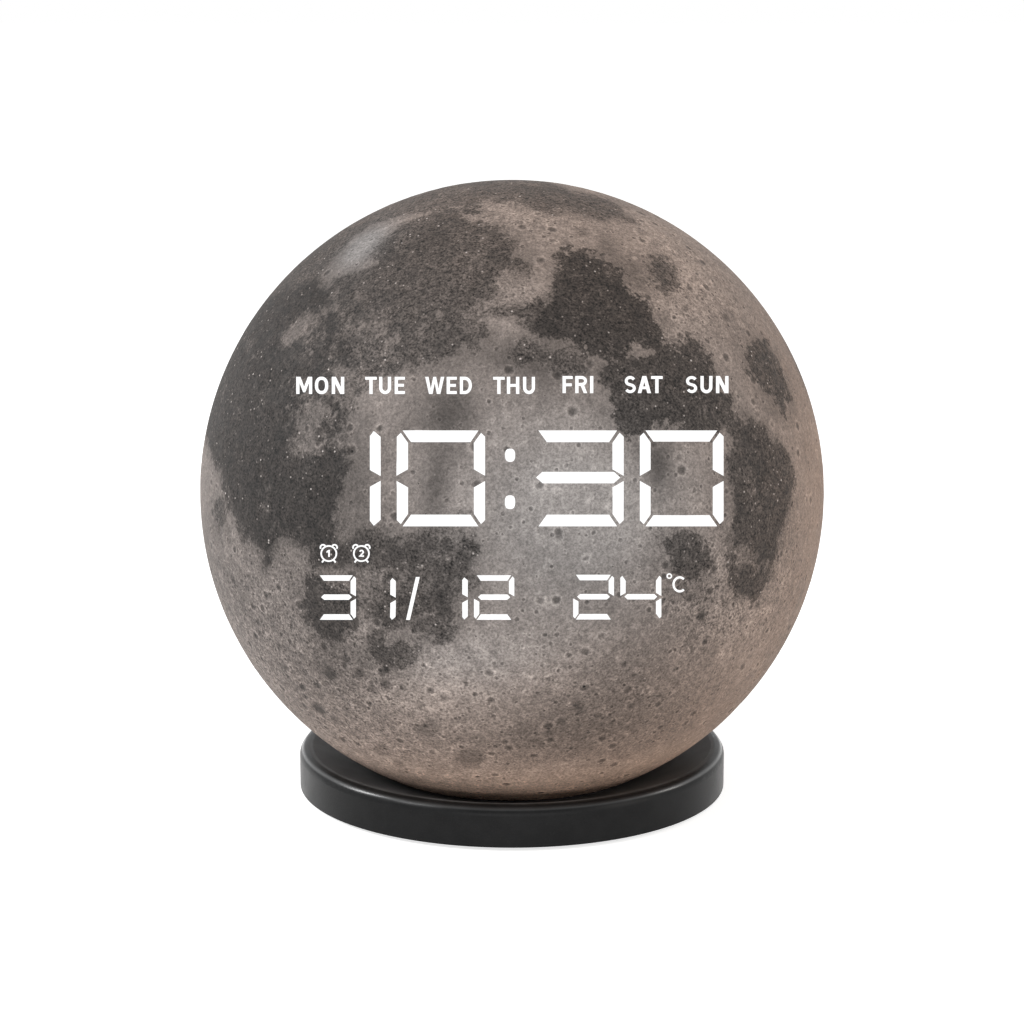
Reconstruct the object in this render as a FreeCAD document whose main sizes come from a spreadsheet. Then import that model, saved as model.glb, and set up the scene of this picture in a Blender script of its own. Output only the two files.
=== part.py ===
import FreeCAD, Part
import math
import os
import re

import Sketcher
from FreeCAD import Rotation, Vector

# A moon ball desk clock. The origin is the centre of the underside on the desk, +Z up,
# and the display looks towards -Y. The ball is built in its own frame, about its centre,
# with the display on -Y and the control panel on +Y, and is then tipped back on the base.

document = FreeCAD.newDocument("MoonClock")

# Driving sizes, in millimetres and degrees
SIZES = {
    # Ball
    "ball_radius": 65,
    "ball_wall": 1.8,
    "ball_flat_radius": 28.3,
    "ball_tilt": 11.8,
    "lip_length": 3,
    "lip_thickness": 0.9,
    "lip_play": 0.05,
    # Display: where the boards and the mask stand in the ball, then the layout of the marks
    "board_plane_share": 0.508,
    "board_thickness": 1.6,
    "board_gap": 1.4,
    "board_half_height_share": 0.74,
    "display_post_radius": 3,
    "display_post_across_share": 0.495,
    "display_post_up_share": 0.667,
    "mask_inset": 1,
    "mask_half_height_share": 0.553,
    "mask_wall": 1,
    "mask_skin": 1.5,
    "mask_back": 1.2,
    "diffuser_thickness": 1,
    "liner_gap": 0.3,
    "segment_gap": 0.4,
    "day_row_up_share": 0.394,
    "day_row_centre_share": 0.01,
    "day_pitch_share": 0.241,
    "day_width_share": 0.194,
    "day_height": 4.4,
    "time_centre_up_share": 0.0485,
    "time_height_share": 0.35,
    "time_width_share": 0.32,
    "time_stroke": 2,
    "time_pitch_share": 0.381,
    "hour_right_share": -0.097,
    "minute_left_share": 0.0875,
    "colon_across_share": -0.007,
    "colon_rise_share": 0.0855,
    "colon_size": 2.2,
    "date_centre_up_share": -0.388,
    "date_height_share": 0.169,
    "date_width_share": 0.136,
    "date_stroke": 1.1,
    "date_pitch_share": 0.1475,
    "day_number_left_share": -0.71,
    "month_left_share": -0.293,
    "temperature_left_share": 0.237,
    "temperature_pitch_share": 0.179,
    "slash_across_share": -0.361,
    "slash_lean": 18,
    "degree_across_share": 0.61,
    "degree_up_share": -0.342,
    "degree_radius": 2.3,
    "alarm_across_share": -0.676,
    "alarm_pitch_share": 0.124,
    "alarm_up_share": -0.227,
    "alarm_radius": 2.1,
    "led_length": 1.6,
    "led_width": 0.8,
    "led_height": 0.6,
    "driver_length": 10,
    "driver_width": 4,
    "driver_height": 1.6,
    "driver_across": 18,
    # Ribbon cable and its sockets
    "socket_width": 14,
    "socket_depth": 5,
    "socket_height": 2.5,
    "led_socket_up": 6,
    "main_socket_up": -10,
    "ribbon_width": 11,
    "ribbon_thickness": 0.4,
    "ribbon_crease": 12,
    # Control board
    "main_board_gap": 0.5,
    "board_post_length": 6.6,
    "board_post_radius": 2.4,
    "upper_post_across_share": 0.815,
    "upper_post_up_share": 0.333,
    "lower_post_across_share": 0.519,
    "lower_post_up_share": -0.722,
    "chip_size": 10,
    "chip_height": 1.4,
    "chip_up": 4,
    "crystal_radius": 1,
    "crystal_length": 6,
    "crystal_gap": 3,
    "sensor_radius": 1.3,
    "sensor_height": 5,
    "sensor_across_share": -0.76,
    "sensor_up_share": -0.11,
    "buzzer_radius": 4.5,
    "buzzer_height": 4.6,
    "buzzer_across_share": 0.76,
    "buzzer_up_share": -0.148,
    "buzzer_hole_radius": 0.8,
    "port_width": 9,
    "port_height": 3.3,
    "port_up_share": -0.778,
    "port_shell": 0.3,
    "port_depth": 6.5,
    "port_set_back": 0.5,
    "port_play": 0.2,
    "tongue_width": 6.4,
    "tongue_thickness": 0.7,
    "cell_radius": 10,
    "cell_thickness": 3.2,
    "cell_rim": 0.7,
    "cell_play": 0.15,
    "holder_wall": 1.4,
    "holder_floor": 1.2,
    "holder_height": 4.8,
    # Push switches and buttons
    "button_count": 5,
    "button_pitch": 8,
    "button_row_up": 16.5,
    "button_radius": 2.95,
    "button_play": 0.1,
    "button_proud": 0.8,
    "button_edge": 0.5,
    "button_flange_reach": 0.85,
    "button_flange": 0.9,
    "button_lift": 0.1,
    "button_travel": 0.4,
    "stem_radius": 1.6,
    "switch_width": 6,
    "switch_height": 3.5,
    "plunger_radius": 1.75,
    "plunger_play": 0.05,
    "plunger_sunk": 0.5,
    "stem_length": 1.1,
    # Rear control panel: its radius follows from the button row and the deck round it
    "deck_gap": 0.7,
    "deck_thickness": 1.8,
    "deck_width": 5.5,
    "deck_wall": 1.8,
    "panel_recess": 1.8,
    "panel_thickness": 2,
    "panel_play": 0.15,
    "panel_edge": 0.6,
    "vent_length": 8,
    "vent_width": 1.2,
    "vent_pitch": 2.4,
    "vent_count": 4,
    # Battery door
    "door_reach": 2.5,
    "door_row_gap": 0.6,
    "door_play": 0.1,
    "door_skin": 1.3,
    "door_step": 1.3,
    "door_hub_wall": 1.8,
    "door_hub_depth": 1.1,
    "lug_reach": 1.8,
    "lug_width": 5,
    "lug_thickness": 0.95,
    "notch_gap": 0.3,
    "notch_turn": 45,
    "coin_slot_length": 13,
    "coin_slot_width": 1.8,
    "coin_slot_depth": 0.8,
    # Screws
    "small_screw_radius": 1,
    "small_screw_head_radius": 1.9,
    "small_screw_head": 1.3,
    "small_screw_length": 5,
    "ball_screw_radius": 1.5,
    "ball_screw_head_radius": 2.7,
    "ball_screw_head": 1.3,
    "ball_screw_length": 8.5,
    "ball_screw_circle": 12,
    "screw_hole_play": 0.2,
    "screw_thread_share": 0.85,
    "screw_slot_share": 0.35,
    # Base
    "base_radius": 45.2,
    "base_height": 9.2,
    "base_wall": 1.8,
    "base_edge": 2,
    "rim_flat": 0.6,
    "dish_lip": 1,
    "dish_radius": 130,
    "seat_margin": 0.9,
    "seat_height": 5,
    "seat_web": 1.8,
    "rim_thickness": 2.4,
    "base_lift": 0.8,
    "cover_play": 0.1,
    "pad_margin": 2.3,
    "pad_thickness": 1.2,
    "ballast_thickness": 1.8,
    "ballast_play": 0.15,
    "ballast_gap": 0.6,
    # Plug plate at the bottom of the ball
    "plug_thickness": 2.4,
    "plug_play": 0.1,
    "plug_boss_radius": 3.2,
    "plug_boss_height": 7,
    # Overrun of every cut
    "overrun": 1,
}

sheet = document.addObject("Spreadsheet::Sheet", "Sizes")
for row, (size_name, number) in enumerate(SIZES.items(), start=1):
    sheet.set(f"A{row}", size_name.replace("_", " "))
    sheet.set(f"B{row}", str(number))
    sheet.setAlias(f"B{row}", size_name)
document.recompute()

SIZE_PATTERN = re.compile(r"\b(" + "|".join(SIZES) + r")\b")


def bound(expression):
    """The expression with each size's name pointed at the spreadsheet."""
    return SIZE_PATTERN.sub(r"Sizes.\1", expression)


def value(expression):
    """What an expression comes to, in millimetres or as a plain number."""
    return float(sheet.evalExpression(bound(expression)))


def bind(item, **settings):
    """Bind properties of an object to expressions, with __ standing for a dot."""
    for name, expression in settings.items():
        item.setExpression(name.replace("__", "."), bound(expression))
    return item


# Where pieces stand: the ball's frame is lifted to the ball's centre and tipped back

ball_height = "(seat_height + sqrt(ball_radius^2 - ball_flat_radius^2))"
BALL_FRAME = (f"create(<<placement>>; create(<<vector>>; 0; 0; {ball_height});"
              " create(<<rotation>>; create(<<vector>>; 1; 0; 0); -ball_tilt))")


def in_ball(item, across="0", up="0", turn="0"):
    """Place an object in the ball's frame, moved across and up and turned about +Y."""
    shift = (f"create(<<placement>>; create(<<vector>>; {across}; 0; {up});"
             f" create(<<rotation>>; create(<<vector>>; 0; 1; 0); {turn}))")
    return bind(item, Placement=f"{BALL_FRAME} * {shift}")


def box(name, corner, lengths):
    """A block from its lowest corner and its three lengths."""
    block = document.addObject("Part::Box", name)
    for axis, place in zip("xyz", corner):
        bind(block, **{f"Placement__Base__{axis}": place})
    return bind(block, Length=lengths[0], Width=lengths[1], Height=lengths[2])


def rod(name, radius, start, end, across="0", up="0"):
    """A cylinder along +Y from start to end."""
    bar = document.addObject("Part::Cylinder", name)
    bar.Placement.Rotation = Rotation(Vector(1, 0, 0), -90)
    bind(bar, Radius=radius, Height=f"{end} - ({start})")
    return bind(bar, Placement__Base__x=across, Placement__Base__y=start, Placement__Base__z=up)


def pillar(name, radius, bottom, top, across="0", back="0"):
    """A cylinder along +Z from bottom to top."""
    post = document.addObject("Part::Cylinder", name)
    bind(post, Radius=radius, Height=f"{top} - ({bottom})")
    return bind(post, Placement__Base__x=across, Placement__Base__y=back, Placement__Base__z=bottom)


def ball(name, radius):
    """A whole sphere about the ball's centre, its poles on the display's axis."""
    sphere = document.addObject("Part::Sphere", name)
    sphere.Placement.Rotation = Rotation(Vector(1, 0, 0), -90)
    return bind(sphere, Radius=radius)


def group(name, items):
    """Separate solids kept together."""
    compound = document.addObject("Part::Compound", name)
    compound.Links = items
    return compound


def fuse(name, items):
    joined = document.addObject("Part::MultiFuse", name)
    joined.Shapes = items
    joined.Refine = True
    return joined


def cut(name, base, tool):
    rest = document.addObject("Part::Cut", name)
    rest.Base = base
    rest.Tool = tool
    return rest


def overlap(name, first, second):
    common = document.addObject("Part::Common", name)
    common.Base = first
    common.Tool = second
    return common


def around(radius, angle):
    """Two places, across and up, on a circle of this radius at an angle in degrees."""
    return f"({radius}) * cos({angle} * 1deg)", f"({radius}) * sin({angle} * 1deg)"


def outline_sketch(body, plane_role, outline):
    """
    A closed outline bound to the sizes. Each point is (across, along), or
    (across, along, radius, turn) where an arc of that radius, turning left or right,
    leads to the next point.
    """
    drawing = body.newObject("Sketcher::SketchObject", f"{body.Name}_outline")
    plane = next(part for part in body.Origin.OriginFeatures if part.Role == plane_role)
    drawing.AttachmentSupport = (plane, [""])
    drawing.MapMode = "FlatFace"
    corners = [Vector(value(point[0]), value(point[1]), 0) for point in outline]
    starts = []
    ends = []
    for place, point in enumerate(outline):
        here = corners[place]
        there = corners[(place + 1) % len(corners)]
        if len(point) == 2:
            drawing.addGeometry(Part.LineSegment(here, there), False)
            starts.append(1)
            ends.append(2)
            continue
        chord = there - here
        radius = value(point[2])
        rise = math.sqrt(max(radius ** 2 - (chord.Length / 2) ** 2, 0))
        side = Vector(-chord.y, chord.x, 0).normalize()
        left = point[3] == "left"
        centre = (here + there) / 2 + side * (rise if left else -rise)
        circle = Part.Circle(centre, Vector(0, 0, 1), radius)
        first, last = (here, there) if left else (there, here)
        angles = [math.atan2(end.y - centre.y, end.x - centre.x) for end in (first, last)]
        drawing.addGeometry(Part.ArcOfCircle(circle, *angles), False)
        starts.append(1 if left else 2)
        ends.append(2 if left else 1)
    for place, point in enumerate(outline):
        after = (place + 1) % len(outline)
        drawing.addConstraint(Sketcher.Constraint("Coincident", place, ends[place], after, starts[after]))
    for place, point in enumerate(outline):
        for kind, axis, expression in (("DistanceX", -2, point[0]), ("DistanceY", -1, point[1])):
            if expression == "0":
                on_axis = Sketcher.Constraint("PointOnObject", place, starts[place], axis)
                drawing.addConstraint(on_axis)
                continue
            size = Sketcher.Constraint(kind, -1, 1, place, starts[place], value(expression))
            drawing.renameConstraint(drawing.addConstraint(size), f"{kind}_{place}")
            drawing.setExpression(f"Constraints.{kind}_{place}", bound(expression))
        if len(point) == 4:
            bend = Sketcher.Constraint("Radius", place, value(point[2]))
            drawing.renameConstraint(drawing.addConstraint(bend), f"Radius_{place}")
            drawing.setExpression(f"Constraints.Radius_{place}", bound(point[2]))
    return drawing


def turned(name, plane_role, outline):
    """A body turned about its sketch's upright axis: +Y on the XY plane, +Z on the XZ plane."""
    body = document.addObject("PartDesign::Body", name)
    drawing = outline_sketch(body, plane_role, outline)
    lathe = body.newObject("PartDesign::Revolution", f"{name}_turn")
    lathe.Profile = drawing
    lathe.ReferenceAxis = (drawing, ["V_Axis"])
    lathe.Angle = 360
    return body


def screw(name, radius, head_radius, head_height, length):
    """A pan head screw along -Z: the head's underside is at zero, the shank points up."""
    head = pillar(f"{name}_head", head_radius, f"-({head_height})", "0")
    shank = pillar(f"{name}_shank", f"{radius} * screw_thread_share", "0", length)
    slot_width = f"{radius} * screw_slot_share"
    slot = box(
        f"{name}_slot",
        (f"-({head_radius})", f"-({slot_width}) / 2", f"-({head_height}) * (1 + screw_slot_share)"),
        (f"2 * ({head_radius})", slot_width, f"({head_height}) * 2 * screw_slot_share"),
    )
    return cut(name, fuse(f"{name}_blank", [head, shank]), slot)


NODES = {}


def keep(node, item):
    """Name a finished piece, which becomes its own file."""
    item.Label = node
    NODES[node] = item
    return item


# Base shell: one moulding with a rounded rim, a dished top and a flat seat for the ball

base_inner_radius = "(base_radius - base_wall)"
seat_radius = "(ball_flat_radius + seat_margin)"
dish_edge_radius = "(base_radius - base_edge - rim_flat)"
lip_slope_share = f"({dish_edge_radius} / dish_radius)"
cover_top = "(seat_height - seat_web)"
wall_top = "(base_height - rim_thickness)"
base_bowl = turned("base_bowl", "XZ_Plane", [
    ("0", "seat_height"),
    (seat_radius, "seat_height", "dish_radius", "left"),
    (f"{dish_edge_radius} - dish_lip * {lip_slope_share}",
     f"base_height - dish_lip * (1 - sqrt(1 - {lip_slope_share}^2))", "dish_lip", "right"),
    (dish_edge_radius, "base_height"),
    ("base_radius - base_edge", "base_height", "base_edge", "right"),
    ("base_radius", "base_height - base_edge"),
    ("base_radius", "base_lift"),
    (base_inner_radius, "base_lift"),
    (base_inner_radius, wall_top),
    (seat_radius, cover_top),
    ("0", cover_top),
])
ball_screw_angles = (90, 210, 330)
seat_holes = []
for turn in ball_screw_angles:
    across, back = around("ball_screw_circle", turn)
    seat_holes.append(pillar(f"seat_hole_{turn}", "ball_screw_radius + screw_hole_play",
                             f"{cover_top} - overrun", "seat_height + overrun", across, back))
keep("base_shell", cut("base_shell_drilled", base_bowl, group("seat_holes", seat_holes)))

# Cover under the base: a disc inside the wall, recessed for the foot pad and for the screw heads

cover_radius = f"({base_inner_radius} - cover_play)"
pad_radius = f"({cover_radius} - pad_margin)"
screw_head_top = "(pad_thickness + ball_screw_head)"
cover_disc = turned("cover_disc", "XZ_Plane", [
    ("0", "pad_thickness"),
    (f"{pad_radius} + cover_play", "pad_thickness"),
    (f"{pad_radius} + cover_play", "base_lift"),
    (cover_radius, "base_lift"),
    (cover_radius, cover_top),
    ("0", cover_top),
])
cover_holes = []
for turn in ball_screw_angles:
    across, back = around("ball_screw_circle", turn)
    cover_holes.append(fuse(f"cover_hole_{turn}", [
        pillar(f"cover_head_hole_{turn}", "ball_screw_head_radius + screw_hole_play",
               "pad_thickness - overrun", screw_head_top, across, back),
        pillar(f"cover_shank_hole_{turn}", "ball_screw_radius + screw_hole_play",
               "pad_thickness", f"{cover_top} + overrun", across, back),
    ]))
keep("base_cover", cut("base_cover_drilled", cover_disc, group("cover_holes", cover_holes)))

# Foot pad: a rubber disc stuck in the cover's recess, the only piece that meets the desk

keep("foot_pad", pillar("foot_pad_disc", pad_radius, "0", "pad_thickness"))

# Ballast: a steel ring on the cover, as wide as the slope under the dish leaves room for

slope_share = f"(ballast_thickness + ballast_play) / ({wall_top} - {cover_top})"
ballast_inner_radius = f"({seat_radius} + ({base_inner_radius} - {seat_radius}) * {slope_share})"
keep("ballast_ring", cut(
    "ballast_turned",
    pillar("ballast_disc", f"{base_inner_radius} - ballast_gap", cover_top,
           f"{cover_top} + ballast_thickness"),
    pillar("ballast_bore", ballast_inner_radius, f"{cover_top} - overrun",
           f"{cover_top} + ballast_thickness + overrun")))

# Ball screws: three, up through the cover and the base into the ball's plug plate

ball_screws = []
for turn in ball_screw_angles:
    across, back = around("ball_screw_circle", turn)
    one = screw(f"ball_screw_{turn}", "ball_screw_radius", "ball_screw_head_radius",
                "ball_screw_head", "ball_screw_length")
    ball_screws.append(bind(one, Placement__Base__x=across, Placement__Base__y=back,
                            Placement__Base__z=screw_head_top))
keep("ball_screws", group("ball_screw_group", ball_screws))

# Plug plate: closes the flat at the bottom of the ball and takes the ball screws

inner_radius = "(ball_radius - ball_wall)"
plug_ball_radius = f"({inner_radius} - plug_play)"


def level_radius(radius, height):
    """The radius of the ball's cut at a height above the desk."""
    return f"sqrt({radius}^2 - ({ball_height} - ({height}))^2)"


plug_top = "seat_height + plug_thickness"
plug_disc = turned("plug_disc", "XZ_Plane", [
    ("0", "seat_height"),
    (level_radius(plug_ball_radius, "seat_height"), "seat_height", plug_ball_radius, "left"),
    (level_radius(plug_ball_radius, plug_top), plug_top),
    ("0", plug_top),
])
plug_bosses = []
plug_holes = []
for turn in ball_screw_angles:
    across, back = around("ball_screw_circle", turn)
    plug_bosses.append(pillar(f"plug_boss_{turn}", "plug_boss_radius", "seat_height",
                              "seat_height + plug_boss_height", across, back))
    plug_holes.append(pillar(f"plug_hole_{turn}", "ball_screw_radius", "seat_height - overrun",
                             f"{screw_head_top} + ball_screw_length + screw_hole_play", across, back))
keep("seat_plate", cut("seat_plate_drilled", fuse("seat_plate_solid", [plug_disc] + plug_bosses),
                       group("plug_holes", plug_holes)))

# Ball shells: two hollow halves with a lapped lip, cut flat at the bottom to sit on the base

below_seat = box(
    "below_seat",
    ("-2 * ball_radius", "-2 * ball_radius", "seat_height - 2 * ball_radius"),
    ("4 * ball_radius", "4 * ball_radius", "2 * ball_radius"),
)
front_bowl = turned("front_bowl", "XY_Plane", [
    ("0", "-ball_radius", "ball_radius", "left"),
    ("ball_radius", "0"),
    ("ball_radius - ball_wall + lip_thickness", "0"),
    ("ball_radius - ball_wall + lip_thickness", "lip_length"),
    ("ball_radius - ball_wall", "lip_length"),
    ("ball_radius - ball_wall", "0", inner_radius, "right"),
    ("0", f"-{inner_radius}"),
])
in_ball(front_bowl)

# Four posts inside the front shell carry the display board
board_plane = "(board_plane_share * ball_radius)"
board_front = f"(-{board_plane})"
board_radius = f"(sqrt({inner_radius}^2 - {board_plane}^2) - board_gap)"
post_places = []
for side, height in ((-1, -1), (1, -1), (-1, 1), (1, 1)):
    post_places.append((f"{board_radius} * display_post_across_share * {side}",
                        f"{board_radius} * display_post_up_share * {height}"))
display_posts = []
display_post_holes = []
for label, (across, up) in enumerate(post_places):
    display_posts.append(rod(f"display_post_{label}", "display_post_radius", "-ball_radius",
                             board_front, across, up))
    display_post_holes.append(rod(
        f"display_post_hole_{label}", "small_screw_radius",
        f"{board_front} + board_thickness - small_screw_length - screw_hole_play",
        f"{board_front} + overrun", across, up))
trimmed_posts = overlap("display_posts_trimmed", group("display_post_rods", display_posts),
                        ball("post_limit", "ball_radius - ball_wall / 2"))
front_solid = fuse("front_solid", [front_bowl, in_ball(trimmed_posts)])
post_holes = in_ball(group("display_post_holes", display_post_holes))
keep("front_shell", cut("front_shell_cut", front_solid, fuse("front_cutters", [below_seat, post_holes])))

# The rear half ends in a sunken deck that carries the control panel
button_flange_radius = "(button_radius + button_flange_reach)"
row_half_length = "(button_pitch * (button_count - 1) / 2)"
deck_inner_radius = f"(sqrt({row_half_length}^2 + button_row_up^2) + {button_flange_radius} + deck_gap)"
panel_radius = f"({deck_inner_radius} + deck_width)"
panel_plane = f"(sqrt(ball_radius^2 - {panel_radius}^2) - panel_recess)"
panel_inner = f"({panel_plane} - panel_thickness)"
panel_screw_circle = f"({deck_inner_radius} + deck_width / 2)"
deck_bottom = f"({panel_inner} - deck_thickness)"
deck_outer_radius = f"({panel_radius} + deck_wall)"
rebate_radius = "(ball_radius - ball_wall + lip_thickness + lip_play)"
rebate_end = "(lip_length + liner_gap)"
rear_bowl = turned("rear_bowl", "XY_Plane", [
    ("ball_radius", "0", "ball_radius", "left"),
    (panel_radius, f"sqrt(ball_radius^2 - {panel_radius}^2)"),
    (panel_radius, panel_inner),
    (deck_inner_radius, panel_inner),
    (deck_inner_radius, deck_bottom),
    (deck_outer_radius, deck_bottom),
    (deck_outer_radius, f"sqrt({inner_radius}^2 - {deck_outer_radius}^2)", inner_radius, "right"),
    (f"sqrt({inner_radius}^2 - {rebate_end}^2)", rebate_end),
    (rebate_radius, rebate_end),
    (rebate_radius, "0"),
])
in_ball(rear_bowl)
panel_screw_angles = (90, 210, 330)
panel_boss_end = f"({panel_inner} - small_screw_length)"
deck_bosses = []
deck_holes = []
for turn in panel_screw_angles:
    across, up = around(panel_screw_circle, turn)
    deck_bosses.append(rod(f"deck_boss_{turn}", "small_screw_head_radius", panel_boss_end,
                           deck_bottom, across, up))
    deck_holes.append(rod(f"deck_hole_{turn}", "small_screw_radius", f"{panel_boss_end} + screw_hole_play",
                          f"{panel_inner} + overrun", across, up))
rear_solid = fuse("rear_solid", [rear_bowl, in_ball(group("deck_bosses", deck_bosses))])
rear_cutters = fuse("rear_cutters", [below_seat, in_ball(group("deck_holes", deck_holes))])
keep("rear_shell", cut("rear_shell_cut", rear_solid, rear_cutters))

# Display: every lit mark has its own well in the mask and its own diode on the board

diffuser_outer = f"({inner_radius} - liner_gap)"
diffuser_inner = f"({diffuser_outer} - diffuser_thickness)"
mask_front = f"({diffuser_inner} - liner_gap)"


mask_radius = f"({board_radius} - mask_inset)"


def on_mask(share):
    """A place or size on the display as a share of the mask's radius."""
    return f"({share} * {mask_radius})"


def mark(left, bottom, width, height):
    """One lit mark as its left edge, lower edge, width and height."""
    return left, bottom, width, height


def seven_segments(left, centre_up, width, height, stroke):
    """The seven marks of a digit, three level and four upright."""
    level_left = f"{left} + {stroke} + segment_gap"
    level_length = f"{width} - 2 * ({stroke} + segment_gap)"
    marks = []
    for place in (-1, 0, 1):
        middle = f"{centre_up} + ({height} - {stroke}) / 2 * {place}"
        marks.append(mark(level_left, f"{middle} - {stroke} / 2", level_length, stroke))
    upright_length = f"{height} / 2 - segment_gap"
    for across in (left, f"{left} + {width} - {stroke}"):
        marks.append(mark(across, f"{centre_up} + segment_gap / 2", stroke, upright_length))
        marks.append(mark(across, f"{centre_up} - {height} / 2 + segment_gap / 2", stroke, upright_length))
    return marks


time_left_shares = ["(hour_right_share - time_width_share - time_pitch_share)",
                    "(hour_right_share - time_width_share)",
                    "minute_left_share", "(minute_left_share + time_pitch_share)"]
date_left_shares = ["day_number_left_share", "(day_number_left_share + date_pitch_share)",
                    "month_left_share", "(month_left_share + date_pitch_share)",
                    "temperature_left_share", "(temperature_left_share + temperature_pitch_share)"]
time_centre_up = on_mask("time_centre_up_share")
time_height = on_mask("time_height_share")
time_width = on_mask("time_width_share")
date_centre_up = on_mask("date_centre_up_share")
date_height = on_mask("date_height_share")
date_width = on_mask("date_width_share")
marks = []
towers = []
for share in time_left_shares:
    marks += seven_segments(on_mask(share), time_centre_up, time_width, time_height, "time_stroke")
    towers.append(mark(on_mask(share), f"{time_centre_up} - {time_height} / 2", time_width, time_height))
for share in date_left_shares:
    marks += seven_segments(on_mask(share), date_centre_up, date_width, date_height, "date_stroke")
    towers.append(mark(on_mask(share), f"{date_centre_up} - {date_height} / 2", date_width, date_height))
for side in (-1, 1):
    dot_up = f"{time_centre_up} + {on_mask('colon_rise_share')} * {side}"
    dot = mark(f"{on_mask('colon_across_share')} - colon_size / 2", f"{dot_up} - colon_size / 2",
               "colon_size", "colon_size")
    marks.append(dot)
    towers.append(dot)
days_in_week = 7
day_width = on_mask("day_width_share")
for day in range(days_in_week):
    centre = on_mask(f"(day_row_centre_share + day_pitch_share * {day - days_in_week // 2})")
    window = mark(f"{centre} - {day_width} / 2", f"{on_mask('day_row_up_share')} - day_height / 2",
                  day_width, "day_height")
    marks.append(window)
    towers.append(window)

wells = []
diodes = []
for place, (left, bottom, width, height) in enumerate(marks):
    wells.append(box(f"well_{place}", (left, "-ball_radius", bottom),
                     (width, f"ball_radius - {board_plane} + overrun", height)))
    level = value(width) >= value(height)
    led_across, led_up = ("led_length", "led_width") if level else ("led_width", "led_length")
    diodes.append(box(
        f"diode_{place}",
        (f"{left} + ({width} - {led_across}) / 2", f"{board_front} - led_height",
         f"{bottom} + ({height} - {led_up}) / 2"),
        (led_across, "led_height", led_up)))
tower_blocks = []
for place, (left, bottom, width, height) in enumerate(towers):
    tower_blocks.append(box(
        f"tower_{place}", (f"{left} - mask_wall", "-ball_radius", f"{bottom} - mask_wall"),
        (f"{width} + 2 * mask_wall", f"ball_radius - {board_plane}", f"{height} + 2 * mask_wall")))

# Round wells: the two alarm symbols and the degree sign
round_wells = [("alarm_across_share", "alarm_up_share", "alarm_radius"),
               ("(alarm_across_share + alarm_pitch_share)", "alarm_up_share", "alarm_radius"),
               ("degree_across_share", "degree_up_share", "degree_radius")]
for place, (across_share, up_share, radius) in enumerate(round_wells):
    across = on_mask(across_share)
    up = on_mask(up_share)
    wells.append(rod(f"round_well_{place}", radius, "-ball_radius", f"{board_front} + overrun", across, up))
    tower_blocks.append(rod(f"round_tower_{place}", f"{radius} + mask_wall", "-ball_radius",
                            board_front, across, up))
    diodes.append(box(
        f"round_diode_{place}",
        (f"{across} - led_length / 2", f"{board_front} - led_height", f"{up} - led_width / 2"),
        ("led_length", "led_height", "led_width")))

# The leaning well of the date's stroke
slash_across = on_mask("slash_across_share")
slash_frame = (f"create(<<placement>>; create(<<vector>>; {slash_across}; 0; {date_centre_up});"
               " create(<<rotation>>; create(<<vector>>; 0; 1; 0); slash_lean))")


def slash_block(name, width, front, back, height):
    """A block along +Y that leans with the slash."""
    block = document.addObject("Part::Box", name)
    bind(block, Length=width, Width=f"{back} - ({front})", Height=height)
    corner = (f"create(<<placement>>; create(<<vector>>; -({width}) / 2; {front}; -({height}) / 2);"
              " create(<<rotation>>; create(<<vector>>; 0; 1; 0); 0))")
    return bind(block, Placement=f"{slash_frame} * {corner}")


wells.append(slash_block("slash_well", "date_stroke", "-ball_radius", f"{board_front} + overrun",
                         date_height))
tower_blocks.append(slash_block("slash_tower", "date_stroke + 2 * mask_wall", "-ball_radius",
                                board_front, f"{date_height} + 2 * mask_wall"))
diodes.append(slash_block("slash_diode", "led_width", f"{board_front} - led_height", board_front,
                          "led_length"))


def display_outline(name, radius, front):
    """A block with the display's outline, a disc cut off above and below."""
    disc = rod(f"{name}_disc", radius, front, board_front)
    half_height = on_mask("mask_half_height_share")
    slab = box(f"{name}_slab", (f"-({radius})", front, f"-{half_height}"),
               (f"2 * ({radius})", f"{board_front} - ({front})", f"2 * {half_height}"))
    return overlap(name, disc, slab)


# Light mask: a curved front skin, a back plate on the board and a tower round each mark
mask_block = display_outline("mask_block", mask_radius, "-ball_radius")
skin_hollow = overlap("skin_hollow", ball("skin_inside", f"{mask_front} - mask_skin"),
                      box("skin_reach", ("-2 * ball_radius", "-2 * ball_radius", "-2 * ball_radius"),
                          ("4 * ball_radius", f"2 * ball_radius - {board_plane} - mask_back",
                           "4 * ball_radius")))
mask_skins = cut("mask_skins", mask_block, skin_hollow)
mask_towers = overlap("mask_towers", fuse("mask_tower_blocks", tower_blocks), ball("tower_limit", mask_front))
mask_solid = overlap("mask_solid", fuse("mask_joined", [mask_skins, mask_towers]),
                     ball("mask_limit", mask_front))
keep("light_mask", in_ball(cut("light_mask_cut", mask_solid, group("light_wells", wells))))
keep("segment_leds", in_ball(group("segment_led_group", diodes)))

# Diffuser: a thin curved liner between the shell and the mask
diffuser_block = display_outline("diffuser_block", mask_radius, "-ball_radius")
diffuser_layer = cut("diffuser_layer", ball("diffuser_front", diffuser_outer),
                     ball("diffuser_back", diffuser_inner))
keep("diffuser", in_ball(overlap("diffuser_curve", diffuser_layer, diffuser_block)))

# Display board: a disc cut off above and below, on the front shell's four posts

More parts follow.
